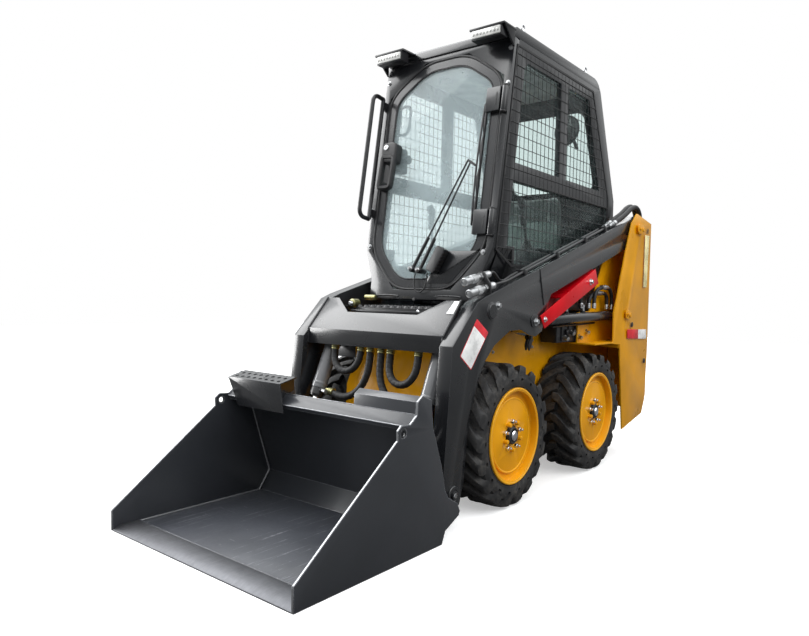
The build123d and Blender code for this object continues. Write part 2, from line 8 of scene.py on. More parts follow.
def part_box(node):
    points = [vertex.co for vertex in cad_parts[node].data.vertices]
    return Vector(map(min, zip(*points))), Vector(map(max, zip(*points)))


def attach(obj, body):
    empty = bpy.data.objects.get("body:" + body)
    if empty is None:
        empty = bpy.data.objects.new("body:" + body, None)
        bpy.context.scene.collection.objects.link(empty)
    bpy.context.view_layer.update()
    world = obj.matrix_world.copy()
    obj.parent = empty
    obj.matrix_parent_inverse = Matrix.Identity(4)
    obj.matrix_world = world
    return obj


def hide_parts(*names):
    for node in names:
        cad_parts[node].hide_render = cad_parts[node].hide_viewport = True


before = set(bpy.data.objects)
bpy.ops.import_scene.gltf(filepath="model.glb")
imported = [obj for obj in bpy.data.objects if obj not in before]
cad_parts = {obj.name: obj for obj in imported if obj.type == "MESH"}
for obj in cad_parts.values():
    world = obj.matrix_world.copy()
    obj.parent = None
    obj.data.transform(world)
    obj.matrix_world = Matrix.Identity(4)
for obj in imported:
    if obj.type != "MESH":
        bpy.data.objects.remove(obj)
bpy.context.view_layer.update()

sides = (("left", 1), ("right", -1))
alongX, alongY, alongZ = (1, 0, 0), (0, 1, 0), (0, 0, 1)
wheelLow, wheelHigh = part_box("tyre_front_left")
axle = Vector(((wheelLow[0] + wheelHigh[0]) / 2, (wheelLow[1] + wheelHigh[1]) / 2,
               (wheelLow[2] + wheelHigh[2]) / 2))
# every y below is a station, measured from the front axle; makePiece adds the axle's own y


# a shape is (points, list of face index arrays), and all of them are worked out as arrays
def gridFaces(rows, cols, closeRows=False, closeCols=False):
    # quads between neighbours of a rows x cols grid, wrapped round where it is closed
    r, c = np.meshgrid(np.arange(rows if closeRows else rows - 1),
                       np.arange(cols if closeCols else cols - 1), indexing="ij")
    nextR, nextC = (r + 1) % rows, (c + 1) % cols
    return np.stack([r * cols + c, nextR * cols + c, nextR * cols + nextC, r * cols + nextC],
                    -1).reshape(-1, 4)


def endCaps(rows, cols):
    # one flat face over each end of a grid whose columns are closed
    return [np.arange(cols)[None, ::-1], (rows - 1) * cols + np.arange(cols)[None]]


def joinShapes(*shapes):
    # all the points in one list, with each shape's face indices moved up by those before it
    points, faces, start = [], [], 0
    for shapePoints, shapeFaces in shapes:
        points.append(shapePoints)
        faces += [np.asarray(f) + start for f in shapeFaces]
        start += len(shapePoints)
    return np.concatenate(points), faces


def copiesAt(shape, places):
    # the same shape at each place
    points = (shape[0][None] + places[:, None]).reshape(-1, 3)
    return points, steppedFaces(shape[1], len(places), len(shape[0]))


def steppedFaces(faces, count, size):
    # the faces of one copy, repeated for copies whose points follow one another
    step = (np.arange(count) * size)[:, None, None]
    return [(f[None] + step).reshape(-1, f.shape[-1]) for f in faces]


def moveShape(shape, offset=(0, 0, 0), turn=None):
    # each point turned by the matrix whose columns are the new axes, then shifted
    points, faces = shape
    if turn is not None:
        points = points @ np.asarray(turn, float).T
    return points + np.asarray(offset, float), faces


def mirrorShape(shape):
    # x becomes -x, and each face runs the other way round so that it still points out
    points, faces = shape
    return points * np.array([-1, 1, 1]), [np.asarray(f)[..., ::-1] for f in faces]


def unit(vector):
    # the same direction at length 1
    vector = np.asarray(vector, float)
    return vector / np.linalg.norm(vector)


def around(steps):
    # angles of a full turn
    return np.linspace(0, 2 * math.pi, steps, endpoint=False)


def axesAlong(direction):
    # columns: two cross axes, then the direction itself
    z = unit(direction)
    seed = np.array([0, 0, 1.0])
    if abs(z @ seed) > 0.95:
        seed = np.array([0, 1.0, 0])
    x = unit(np.cross(seed, z))
    return np.stack([x, np.cross(z, x), z], -1)


def lathe(profile, start, direction, steps=24):
    # point(i, a) = start + axis * profile[i].along + (cos a, sin a) * profile[i].radius
    profile = np.asarray(profile, float)
    angle = around(steps)
    along, radius = profile[:, 0, None], profile[:, 1, None]
    local = np.stack([radius * np.cos(angle), radius * np.sin(angle),
                      along + 0 * angle], -1).reshape(-1, 3)
    faces = [gridFaces(len(profile), steps, closeCols=True)[:, ::-1],
             *endCaps(len(profile), steps)]
    return moveShape((local, faces), start, axesAlong(direction))


def ringLathe(profile, start, direction, steps):
    # as lathe, but the profile is a closed loop round a hole, so it has no end caps
    points, _ = lathe(profile, start, direction, steps)
    return points, [gridFaces(len(profile), steps, closeRows=True, closeCols=True)[:, ::-1]]


def pathFrames(path):
    # tangent by central difference, then two cross axes that turn as little as they can
    path = np.asarray(path, float)
    tangent = np.gradient(path, axis=0)
    tangent /= np.linalg.norm(tangent, axis=1, keepdims=True)
    normals = [axesAlong(tangent[0])[:, 0]]
    for t in tangent[1:]:
        normals.append(unit(normals[-1] - t * (normals[-1] @ t)))
    normals = np.array(normals)
    return path, normals, np.cross(tangent, normals)


def skinned(points, closed=False):
    # faces over a grid of rings of points
    rows, cols = points.shape[:2]
    faces = [gridFaces(rows, cols, closed, True)[:, ::-1]]
    if not closed:
        faces += endCaps(rows, cols)
    return points.reshape(-1, 3), faces


def sweep(path, section, closed=False):
    # point(i, j) = path[i] + normal[i] * section[j].x + binormal[i] * section[j].y
    path, normal, binormal = pathFrames(path)
    section = np.asarray(section, float)
    return skinned(path[:, None] + normal[:, None] * section[None, :, 0, None]
                   + binormal[:, None] * section[None, :, 1, None], closed)


def roundBar(path, radius, steps=10, closed=False):
    # section(a) = radius * (cos a, sin a)
    angle = around(steps)
    return sweep(path, np.stack([radius * np.cos(angle), radius * np.sin(angle)], -1), closed)


def smoothPath(points, count):
    # Catmull-Rom through the points: each span is the cubic whose end slopes are half the
    # chord between its neighbours
    p = np.asarray(points, float)
    p = np.concatenate([[2 * p[0] - p[1]], p, [2 * p[-1] - p[-2]]])
    t = np.linspace(0, len(p) - 3 - 1e-9, count)
    i = t.astype(int)
    u = (t - i)[:, None]
    a, b, c, d = p[i], p[i + 1], p[i + 2], p[i + 3]
    return 0.5 * (2 * b + (c - a) * u + (2 * a - 5 * b + 4 * c - d) * u ** 2
                  + (3 * b - a - 3 * c + d) * u ** 3)


def tube(points, radius, count, steps=10):
    # a round bar along the smooth curve through the points
    return roundBar(smoothPath(points, count), radius, steps)


def roundOutline(corners, radius, steps=4):
    # each corner is swapped for the quadratic curve between two points `radius` from it
    corners = np.asarray(corners, float)
    before, after = np.roll(corners, 1, 0), np.roll(corners, -1, 0)
    length = [np.linalg.norm(other - corners, axis=1) for other in (before, after)]
    reach = np.minimum(radius, 0.48 * np.minimum(*length))[:, None]
    start, end = (corners + (other - corners) / size[:, None] * reach
                  for other, size in zip((before, after), length))
    t = np.linspace(0, 1, steps)[None, :, None]
    curve = (start[:, None] * (1 - t) ** 2 + 2 * corners[:, None] * t * (1 - t)
             + end[:, None] * t ** 2)
    return curve.reshape(-1, 2)


def rectangle(x0, y0, x1, y1, radius, steps=4):
    # four corners, rounded
    return roundOutline([(x0, y0), (x1, y0), (x1, y1), (x0, y1)], radius, steps)


def signedArea(outline):
    # twice the area, positive where the outline runs anticlockwise
    return np.sum(outline[:, 0] * np.roll(outline[:, 1], -1)
                  - outline[:, 1] * np.roll(outline[:, 0], -1))


def insetOutline(outline, amount):
    # each point moved inwards along the mean normal of its two edges
    ahead = np.roll(outline, -1, 0) - outline
    ahead /= np.linalg.norm(ahead, axis=1, keepdims=True) + 1e-12
    mean = ahead + np.roll(ahead, 1, 0)
    mean /= np.linalg.norm(mean, axis=1, keepdims=True) + 1e-12
    normal = np.stack([mean[:, 1], -mean[:, 0]], -1) * (1 if signedArea(outline) > 0 else -1)
    return outline - normal * amount


def plate(outline, thickness, edge, edgeSteps=3, out=0.0):
    # the outline is carried through the thickness, pulled in by a quarter circle at each
    # rim, and closed by flat caps; it lies in local x, y with its thickness along z
    outline = np.asarray(outline, float)
    if signedArea(outline) < 0:
        outline = outline[::-1]
    quarter = np.linspace(0, math.pi / 2, edgeSteps)
    inset = np.concatenate([edge * (1 - np.sin(quarter)), edge * (1 - np.cos(quarter))])
    depth = np.concatenate([edge * (1 - np.cos(quarter)),
                            thickness - edge * (1 - np.sin(quarter))])
    rings = [np.column_stack([insetOutline(outline, i), np.full(len(outline), d)])
             for i, d in zip(inset, depth)]
    points, faces = skinned(np.stack(rings))
    return points + np.array([0, 0, out]), faces


def roundedBox(low, high, edge, corner=None):
    # a plate with a rectangular outline, between two corners of the frame
    return plate(rectangle(*low[:2], *high[:2], corner or edge * 1.5, 3), high[2] - low[2],
                 edge, 3, low[2])


def plateX(outline, x0, x1, edge=0.0015):
    # a plate whose outline is in (y, z) and whose thickness runs along x
    shape = plate(outline, abs(x1 - x0), edge)
    return moveShape(shape, (min(x0, x1), 0, 0), [alongZ, alongX, alongY])


def plateY(outline, y0, y1, edge=0.0015):
    # a plate whose outline is in (x, z) and whose thickness runs along -y from y1
    shape = plate(outline, abs(y1 - y0), edge)
    return moveShape(shape, (0, max(y0, y1), 0), [alongX, (0, 0, -1), alongY])


def hexBolt(at, direction, size, height=0.008, washer=True):
    # hexagon head with a chamfered crown on a thin round washer
    base = 0.002 if washer else 0.0
    r = size / 2 / math.cos(math.pi / 6)
    head = lathe([(base, r), (base + height * 0.8, r), (base + height, r * 0.84)],
                 at, direction, 6)
    if not washer:
        return head
    return joinShapes(lathe([(0, size * 0.86), (base, size * 0.86)], at, direction, 20), head)


def makePiece(name, shapes, finish, body, smooth=35, both=False, node=None):
    # flat arrays of the faces' corners go into the mesh in one call each; both adds the
    # mirror image, and node is the CAD node that the piece stands for
    shape = joinShapes(*shapes) if isinstance(shapes, list) else shapes
    if both:
        shape = joinShapes(shape, mirrorShape(shape))
    points, faces = moveShape(shape, (0, axle.y, 0))
    corners = [np.asarray(f, np.int32).reshape(-1, np.asarray(f).shape[-1]) for f in faces]
    sizes = np.concatenate([np.full(len(f), f.shape[1], np.int32) for f in corners])
    mesh = bpy.data.meshes.new(name)
    mesh.vertices.add(len(points))
    mesh.vertices.foreach_set("co", np.asarray(points, np.float32).ravel())
    mesh.loops.add(int(sizes.sum()))
    mesh.loops.foreach_set("vertex_index", np.concatenate([f.ravel() for f in corners]))
    mesh.polygons.add(len(sizes))
    mesh.polygons.foreach_set("loop_start", np.cumsum(sizes, dtype=np.int32) - sizes)
    mesh.update(calc_edges=True)
    mesh.validate()
    if smooth:
        mesh.polygons.foreach_set("use_smooth", np.ones(len(mesh.polygons), bool))
        mesh.set_sharp_from_angle(angle=math.radians(smooth))
    mesh.materials.append(finishes[finish])
    piece = bpy.data.objects.new(name, mesh)
    bpy.context.scene.collection.objects.link(piece)
    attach(piece, body)
    if node:
        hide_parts(node)
    return piece


class Nodes:
    # a node tree, with one short call for each kind of node that the looks use
    def __init__(self, tree):
        self.tree = tree

    def feed(self, node, sockets):
        # another node's socket is linked, and a plain value becomes the input's own
        for key, value in sockets.items():
            spot = node.inputs[key]
            if isinstance(value, bpy.types.NodeSocket):
                self.tree.links.new(value, spot)
            elif spot.type == "RGBA":
                spot.default_value = (*value[:3], 1)
            else:
                spot.default_value = value

    def add(self, kind, sockets=None, **settings):
        node = self.tree.nodes.new("ShaderNode" + kind)
        for key, value in settings.items():
            setattr(node, key, value)
        self.feed(node, sockets or {})
        return node

    def place(self, scale=(1, 1, 1)):
        # position in the frame, stretched along each axis
        coords = self.add("TexCoord").outputs["Object"]
        return self.add("Mapping", {"Vector": coords, "Scale": scale}).outputs[0]

    def noise(self, place, scale, detail, rough=0.5):
        return self.add("TexNoise", {"Vector": place, "Scale": scale, "Detail": detail,
                                     "Roughness": rough}).outputs["Fac"]

    def ramp(self, value, low, high, fromValue=0.0, toValue=1.0):
        # low..high is spread over fromValue..toValue, held flat outside
        return self.add("MapRange", {"Value": value, "From Min": low, "From Max": high,
                                     "To Min": fromValue, "To Max": toValue}).outputs[0]

    def mix(self, factor, a, b):
        return self.add("Mix", {"Factor": factor, "A": a, "B": b},
                        data_type="RGBA").outputs["Result"]

    def maths(self, operation, a, b, clamp=False):
        return self.add("Math", {0: a, 1: b}, operation=operation,
                        use_clamp=clamp).outputs[0]

    def times(self, first, *others):
        for other in others:
            first = self.maths("MULTIPLY", first, other)
        return first

    def height(self, vector):
        return self.add("SeparateXYZ", {0: vector}).outputs["Z"]

    def upward(self, low=0.6, high=0.95):
        # 1 on faces that look up, 0 on walls
        return self.ramp(self.height(self.add("NewGeometry").outputs["Normal"]), low, high)

    def bend(self, radius):
        # how far the normal of a rounded edge agrees with the face's own
        rounded = self.add("Bevel", {"Radius": radius}, samples=4).outputs[0]
        flat = self.add("NewGeometry").outputs["Normal"]
        return self.add("VectorMath", {0: rounded, 1: flat},
                        operation="DOT_PRODUCT").outputs["Value"]


class Finish(Nodes):
    # a new material, whose shader's inputs are set by name
    def __init__(self, name):
        self.material = bpy.data.materials.new(name)
        self.material.use_nodes = True
        super().__init__(self.material.node_tree)
        self.shader = self.tree.nodes["Principled BSDF"]

    def set(self, **inputs):
        # colour and the like stand for the inputs' names in the shader
        names = {"colour": "Base Color", "rough": "Roughness", "metallic": "Metallic",
                 "specular": "Specular IOR Level", "coat": "Coat Weight",
                 "coatRough": "Coat Roughness", "through": "Transmission Weight",
                 "ior": "IOR", "glow": "Emission Color", "glowPower": "Emission Strength",
                 "normal": "Normal"}
        self.feed(self.shader, {names[key]: value for key, value in inputs.items()})

    def bump(self, height, distance, strength):
        self.set(normal=self.add("Bump", {"Height": height, "Distance": distance,
                                          "Strength": strength}).outputs[0])


camera = {"place": (1.781, -2.5897, 0.848), "azimuth": 38.674, "pitch": -1.814,
          "roll": 1.354, "lens": 29.81, "sensor": 36.0}
studio = {"sky": 2.0, "seen": 1.0, "floorSeen": 0.8, "floorLit": 0.13, "glow": 0.4}
# the key stands where the sloping plates mirror it towards the camera
lamps = {"keyLamp": {"place": (-3.8, -1.6, 5.4), "size": 5.4, "power": 285.0},
         "fillLamp": {"place": (3.9, 0.2, 3.4), "size": 3.4, "power": 46.0},
         "frontLamp": {"place": (-6.6, -3.2, 1.8), "size": 3.0, "power": 235.0},
         "backLamp": {"place": (-1.5, 4.0, 4.2), "size": 2.6, "power": 23.0}}


def buildCamera():
    # looks along the azimuth and pitch, then rolls about its own axis
    a, e, r = (math.radians(camera[k]) for k in ("azimuth", "pitch", "roll"))
    ahead = Vector((-math.sin(a) * math.cos(e), math.cos(a) * math.cos(e), math.sin(e)))
    right = Vector((math.cos(a), math.sin(a), 0))
    up = right.cross(ahead)
    rolledRight = right * math.cos(r) + up * math.sin(r)
    rolledUp = up * math.cos(r) - right * math.sin(r)
    data = bpy.data.cameras.new("viewCamera")
    data.lens, data.sensor_width = camera["lens"], camera["sensor"]
    data.clip_start, data.clip_end = 0.05, 60
    holder = bpy.data.objects.new("viewCamera", data)
    bpy.context.scene.collection.objects.link(holder)
    turn = np.array([rolledRight, rolledUp, -ahead]).T
    holder.matrix_world = Matrix.Translation(camera["place"]) @ Matrix(turn).to_4x4()
    bpy.context.scene.camera = holder


def buildSky():
    # grey by the sine of the height: dim at the horizon, bright overhead
    world = bpy.data.worlds.new("studioSky")
    bpy.context.scene.world = world
    world.use_nodes = True
    sky = Nodes(world.node_tree)
    rise = sky.ramp(sky.height(sky.add("TexCoord").outputs["Generated"]), -1, 1)
    grey = sky.add("ValToRGB", {"Fac": rise})
    stops = [(0.0, 0.1), (0.5, 0.15), (0.58, 0.22), (0.7, 0.5), (0.84, 0.92), (1.0, 1.0)]
    while len(grey.color_ramp.elements) < len(stops):
        grey.color_ramp.elements.new(0.5)
    for element, (at, level) in zip(grey.color_ramp.elements, stops):
        element.position = at
        element.color = (level * 0.97, level * 0.99, level, 1)
    # seen straight or through glass it is plain white; everything else gets the sky
    path = sky.add("LightPath").outputs
    seen = sky.maths("MAXIMUM", path["Is Camera Ray"], path["Is Transmission Ray"])
    sky.feed(world.node_tree.nodes["Background"],
             {"Color": sky.mix(seen, grey.outputs["Color"], (1, 1, 1)),
              "Strength": sky.ramp(seen, 0, 1, studio["sky"], studio["seen"])})


def buildFloor():
    # a glow that only the camera sees lifts the lit floor to white and keeps its shadows,
    # and the machine itself sees the floor dark
    mesh = bpy.data.meshes.new("studioFloor")
    far = 14
    mesh.from_pydata([(-far, -far, 0), (far, -far, 0), (far, far, 0), (-far, far, 0)], [],
                     [(0, 1, 2, 3)])
    floor = bpy.data.objects.new("studioFloor", mesh)
    bpy.context.scene.collection.objects.link(floor)
    paint = Finish("studioFloor")
    seen = paint.add("LightPath").outputs["Is Camera Ray"]
    paint.set(colour=paint.ramp(seen, 0, 1, studio["floorLit"], studio["floorSeen"]),
              rough=0.9, specular=0.1, glow=(1, 1, 1),
              glowPower=paint.times(seen, studio["glow"]))
    mesh.materials.append(paint.material)


def buildLamps():
    # round area lamps, each turned towards the machine's middle
    for name, look in lamps.items():
        data = bpy.data.lights.new(name, "AREA")
        data.shape, data.size, data.energy = "DISK", look["size"], look["power"]
        lamp = bpy.data.objects.new(name, data)
        lamp.location = look["place"]
        ahead = Vector((0, 0, 0.8)) - Vector(look["place"])
        lamp.rotation_euler = ahead.to_track_quat("-Z", "Y").to_euler()
        bpy.context.scene.collection.objects.link(lamp)


bpy.context.scene.view_settings.view_transform = "Standard"
buildCamera()
buildSky()
buildFloor()
buildLamps()
print("camera and studio ready")


paintLook = {"blotch": 0.16, "blotchScale": 4.5, "grainScale": 46.0, "peelScale": 150.0,
             "peelDepth": 0.022, "waveScale": 9.0, "waves": 6.0, "dust": 0.35,
             "dustColour": (0.3, 0.29, 0.27), "edge": 0.0022}
# rubHeight: where the rubbed grey begins and where it is full, above the floor
# bright is the pale grey of the scratches, and of the painted highlight on rounded edges
bucketLook = {"paint": (0.0275, 0.0297, 0.0348), "rubbed": (0.052, 0.056, 0.067),
              "bright": (0.42, 0.43, 0.46), "edge": 0.0035, "along": (90.0, 3.2, 40.0),
              "across": (9.0, 70.0, 30.0), "rubHeight": (0.2, 0.03)}


def scaled(colour, share):
    # each channel times the share, up to 1
    return tuple(min(1, c * share) for c in colour)


def buildPaint(name, colour, roughness, coat=0.0, dust=1.0, highlightColour=None, peel=1.0,
               specular=0.5):
    # colour: slow blotches, dust where it faces up, paler rounded edges as a painted highlight
    # broken up by noise
    # gloss: the dust and a slow noise roughen it; bump: fine orange peel over slow waves
    look = Finish(name)
    place = look.place()
    slow = look.noise(place, paintLook["blotchScale"], 4.0)
    fine = look.noise(place, paintLook["grainScale"], 5.0, 0.6)
    base = look.mix(look.ramp(slow, 0.3, 0.7), scaled(colour, 1 - paintLook["blotch"]),
                    scaled(colour, 1 + paintLook["blotch"]))
    if highlightColour:
        # painted highlight: rounded edges are mixed towards a paler colour, in noisy patches
        rubAndHighlightMask = look.ramp(look.bend(paintLook["edge"]), 0.995, 0.93)
        edgeHighlight = look.times(rubAndHighlightMask, look.ramp(fine, 0.4, 0.62, 0.25, 0.9))
        base = look.mix(edgeHighlight, base, highlightColour)
    settle = look.times(look.upward(), look.ramp(slow, 0.35, 0.75),
                        look.ramp(fine, 0.3, 0.75), paintLook["dust"] * dust)
    rough = look.ramp(slow, 0.3, 0.7, roughness - 0.04, roughness + 0.05)
    look.set(colour=look.mix(settle, base, paintLook["dustColour"]), specular=specular,
             rough=look.maths("ADD", rough, look.times(settle, 0.5), clamp=True),
             coat=coat, coatRough=0.12)
    waves = look.noise(place, paintLook["waveScale"], 2.0)
    skin = look.maths("ADD", look.noise(place, paintLook["peelScale"], 1.0),
                      look.times(waves, paintLook["waves"]))
    look.bump(skin, 0.0006, paintLook["peelDepth"] * peel * 2)
    return look.material


def buildBucketPaint(name):
    # the same charcoal paint, rubbed grey where loads slide: long scratches are noise
    # stretched along y, thresholded thin, and the whole fades in on faces near the floor
    look = Finish(name)
    place = look.place()
    slow = look.noise(place, 3.2, 5.0, 0.6)
    long = look.noise(look.place(bucketLook["along"]), 1.0, 5.0, 0.7)
    crossed = look.noise(look.place(bucketLook["across"]), 1.0, 4.0, 0.65)
    fine = look.noise(place, 60.0, 5.0, 0.65)
    low = look.ramp(look.height(place), *bucketLook["rubHeight"])
    rubAndHighlightMask = look.times(look.upward(0.75, 0.97), low, look.ramp(slow, 0.3, 0.62, 0.45, 1.0))
    base = look.mix(look.ramp(slow, 0.3, 0.7), bucketLook["paint"],
                    scaled(bucketLook["paint"], 1.25))
    base = look.mix(rubAndHighlightMask, base, bucketLook["rubbed"])
    scratch = look.maths("MAXIMUM", look.ramp(long, 0.6, 0.72),
                         look.ramp(crossed, 0.66, 0.74))
    lines = look.times(scratch, rubAndHighlightMask, look.ramp(fine, 0.35, 0.6))
    base = look.mix(lines, base, bucketLook["bright"])
    # painted highlight: rounded edges are mixed towards the pale grey that the scratches also
    # use
    rim = look.times(look.ramp(look.bend(bucketLook["edge"]), 0.99, 0.9),
                     look.ramp(fine, 0.35, 0.6, 0.35, 1.0))
    rough = look.maths("ADD", look.ramp(fine, 0.3, 0.7, 0.28, 0.36), look.times(rubAndHighlightMask, 0.1),
                       clamp=True)
    look.set(colour=look.mix(rim, base, bucketLook["bright"]), coat=0.25, coatRough=0.1,
             rough=rough, metallic=look.times(lines, 0.8))
    dents = look.maths("SUBTRACT", look.noise(place, 300.0, 1.0), look.times(lines, 2.0))
    look.bump(look.maths("ADD", dents, look.times(slow, 8.0)), 0.0006, 0.16)
    return look.material


def buildMetal(name, colour, roughness, brushed=(1, 1, 1), tarnish=0.3):
    # bare metal: noise stretched along one axis streaks its gloss, blotches dull it
    look = Finish(name)
    streaks = look.noise(look.place(tuple(b * 60.0 for b in brushed)), 1.0, 4.0, 0.6)
    blotch = look.noise(look.place(), 38.0, 4.0, 0.6)
    look.set(colour=look.mix(look.ramp(blotch, 0.35, 0.7), scaled(colour, 1 - tarnish),
                             colour), metallic=1.0,
             rough=look.ramp(streaks, 0.25, 0.75, roughness - 0.06, roughness + 0.12))
    look.bump(streaks, 0.0003, 0.12)
    return look.material


def buildRubber(name, colour, roughness, grain=0.25, dust=0.0):
    # a fine pebble grain, slow scuffs, and pale dust in spots
    look = Finish(name)
    place = look.place()
    slow = look.noise(place, 14.0, 5.0, 0.6)
    base = look.mix(look.ramp(slow, 0.35, 0.7), colour, tuple(c * 1.7 for c in colour))
    if dust:
        spots = look.noise(place, 75.0, 6.0, 0.7)
        dusty = look.times(look.ramp(slow, 0.4, 0.75), look.ramp(spots, 0.4, 0.7), dust)
        base = look.mix(dusty, base, (0.2, 0.18, 0.15))
    look.set(colour=base, rough=look.ramp(slow, 0.3, 0.7, roughness - 0.07,
                                          roughness + 0.08))
    pebble = look.noise(place, 380.0, 2.0, 0.5)
    look.bump(look.maths("ADD", pebble, look.times(slow, 3.0)), 0.0005, grain)
    return look.material


def buildGlass(name, tint, paintedReflectionShare, paintedReflectionColour, ior):
    # pane with a tint and a pale film that is a painted reflection: the film's share is the
    # share of light that it scatters, a little more in blotches; shadow rays are let straight
    # through
    look = Finish(name)
    blotch = look.noise(look.place(), 5.0, 6.0, 0.65)
    look.set(colour=tint, through=1.0, ior=ior, rough=look.ramp(blotch, 0.45, 0.8, 0.0, 0.012))
    reflectionFilm, back, clear = (look.add(kind, {"Color": colour}).outputs[0] for kind, colour in
                         (("BsdfDiffuse", paintedReflectionColour), ("BsdfTranslucent", paintedReflectionColour),
                          ("BsdfTransparent", tint)))
    blend = lambda share, a, b: look.add("MixShader", {0: share, 1: a, 2: b}).outputs[0]
    withPaintedReflection = blend(look.ramp(blotch, 0.3, 0.7, paintedReflectionShare * 0.85, paintedReflectionShare * 1.2),
                  look.shader.outputs[0], blend(0.45, reflectionFilm, back))
    shadow = look.add("LightPath").outputs["Is Shadow Ray"]
    look.feed(look.tree.nodes["Material Output"], {"Surface": blend(shadow, withPaintedReflection, clear)})
    return look.material


# for each slot, the finishes that its pieces have: what builds each one, and its values in
# the order in which that function takes them
# a paint's fifth value is the paler colour of its painted edge highlight
finishTable = {
    "charcoal_paint": {
        "charcoalPaint": (buildPaint, (0.012, 0.0128, 0.0148), 0.27, 0.45, 0.2,
                          (0.085, 0.088, 0.094), 0.6, 0.45),
        # a paler copy of the charcoal: painted reflection on the tilt barrels, painted
        # highlight on the bucket's weld beads
        "cylinderPaint": (buildPaint, (0.165, 0.168, 0.176), 0.26, 0.6, 0.2,
                          (0.17, 0.17, 0.17), 0.6),
        "bucketPaint": (buildBucketPaint,),
        # pale metal for the bucket rims' painted highlight and reflection
        "rubbedEdge": (buildMetal, (0.46, 0.47, 0.49), 0.4, (1, 1, 1), 0.35)},
    "yellow_paint": {
        "yellowPaint": (buildPaint, (0.79, 0.35, 0.002), 0.3, 0.12, 0.2,
                        (0.9, 0.52, 0.08), 0.6, 0.25),
        "wheelPaint": (buildPaint, (0.93, 0.405, 0.0025), 0.28, 0.15, 0.2,
                       (0.93, 0.56, 0.08), 0.6, 0.3)},
    "black_paint": {
        "blackPaint": (buildPaint, (0.013, 0.013, 0.015), 0.36, 0.15, 0.8,
                       (0.05, 0.05, 0.052)),
        "meshPaint": (buildPaint, (0.006, 0.006, 0.007), 0.5, 0.0, 0.1, None, 0.5)},
    "red_paint": {
        "redPaint": (buildPaint, (0.66, 0.001, 0.008), 0.3, 0.1, 0.05,
                     (0.75, 0.06, 0.05), 0.5, 0.2),
        "decalRed": (buildRubber, (0.55, 0.02, 0.03), 0.3, 0.05)},
    "worn_steel": {
        "wornSteel": (buildMetal, (0.165, 0.168, 0.18), 0.5, (3.0, 0.12, 1.0), 0.16)},
    "plated_steel": {
        "chrome": (buildMetal, (0.8, 0.81, 0.83), 0.12, (1, 0.2, 0.2), 0.12),
        "zincPlate": (buildMetal, (0.62, 0.63, 0.64), 0.3),
        "goldZinc": (buildMetal, (0.42, 0.4, 0.2), 0.3, (1, 1, 1), 0.4)},
    "cast_iron": {
        "castIron": (buildPaint, (0.02, 0.021, 0.022), 0.55, 0.0, 1.0, None, 4.0)},
    "tyre_rubber": {
        "tyreRubber": (buildRubber, (0.0105, 0.0105, 0.0115), 0.62, 0.35, 0.55)},
    "hose_rubber": {"hoseRubber": (buildRubber, (0.008, 0.008, 0.009), 0.58, 0.2)},
    "black_plastic": {
        "sealRubber": (buildRubber, (0.008, 0.008, 0.009), 0.5, 0.15),
        "blackPlastic": (buildRubber, (0.014, 0.014, 0.015), 0.38, 0.3),
        "headliner": (buildRubber, (0.42, 0.42, 0.41), 0.9, 0.5)},
    "seat_vinyl": {
        "seatVinyl": (buildRubber, (0.04, 0.046, 0.044), 0.42, 0.45),
        "seatWrap": (buildRubber, (0.085, 0.105, 0.098), 0.16, 1.4)},
    "clear_glass": {
        "lampLens": (buildRubber, (0.62, 0.62, 0.6), 0.18, 0.1),
        "decalWhite": (buildRubber, (0.74, 0.74, 0.73), 0.3, 0.05),
        "decalPale": (buildRubber, (0.74, 0.66, 0.34), 0.3, 0.05),
        # the panes' pale scattering film, in its share and colour, is a painted reflection
        "frontGlass": (buildGlass, (0.95, 0.985, 0.985), 0.27, (0.74, 0.85, 0.88), 1.25),
        "sideGlass": (buildGlass, (0.8, 0.88, 0.87), 0.008, (0.5, 0.6, 0.6), 1.12)},
}
finishes = {name: build(name, *values) for group in finishTable.values()
            for name, (build, *values) in group.items()}
nodeFinish = {
    "yellowPaint": "chassis_side_left chassis_side_right chassis_floor chassis_front "
                   "axle_housings tower_left tower_right rear_bumper hood "
                   "wheel_front_left wheel_front_right wheel_rear_left wheel_rear_right",
    "charcoalPaint": "cab_front cab_side_left cab_side_right cab_rear cab_roof cab_floor "
                     "door_frame arm_left arm_right arm_cross_plate coupler bucket_ears "
                     "bucket_step lift_barrels tilt_barrels rear_door",
    "bucketPaint": "bucket_shell bucket_side_left bucket_side_right",
    "blackPaint": "front_step arm_stops grab_handle side_screens work_lights",
    "redPaint": "safety_strut", "wornSteel": "cutting_edge",
    "chrome": "lift_rods tilt_rods", "zincPlate": "aux_lines lifting_eyes",
    "castIron": "engine", "sideGlass": "cab_windows", "frontGlass": "door_glass",
    "tyreRubber": "tyre_front_left tyre_front_right tyre_rear_left tyre_rear_right",
    "blackPlastic": "cab_controls door_handle", "seatVinyl": "seat_cushion seat_back",
    "hoseRubber": "hose_loop_left hose_loop_right hose_drop_left hose_drop_right",
}
rounded = {"width": 0.0025, "angle": math.radians(30), "weld": 0.00002,
           "flat": math.radians(0.5), "segments": 2}
noRounding = {"cab_windows", "door_glass", "side_screens", "engine", "lifting_eyes"}


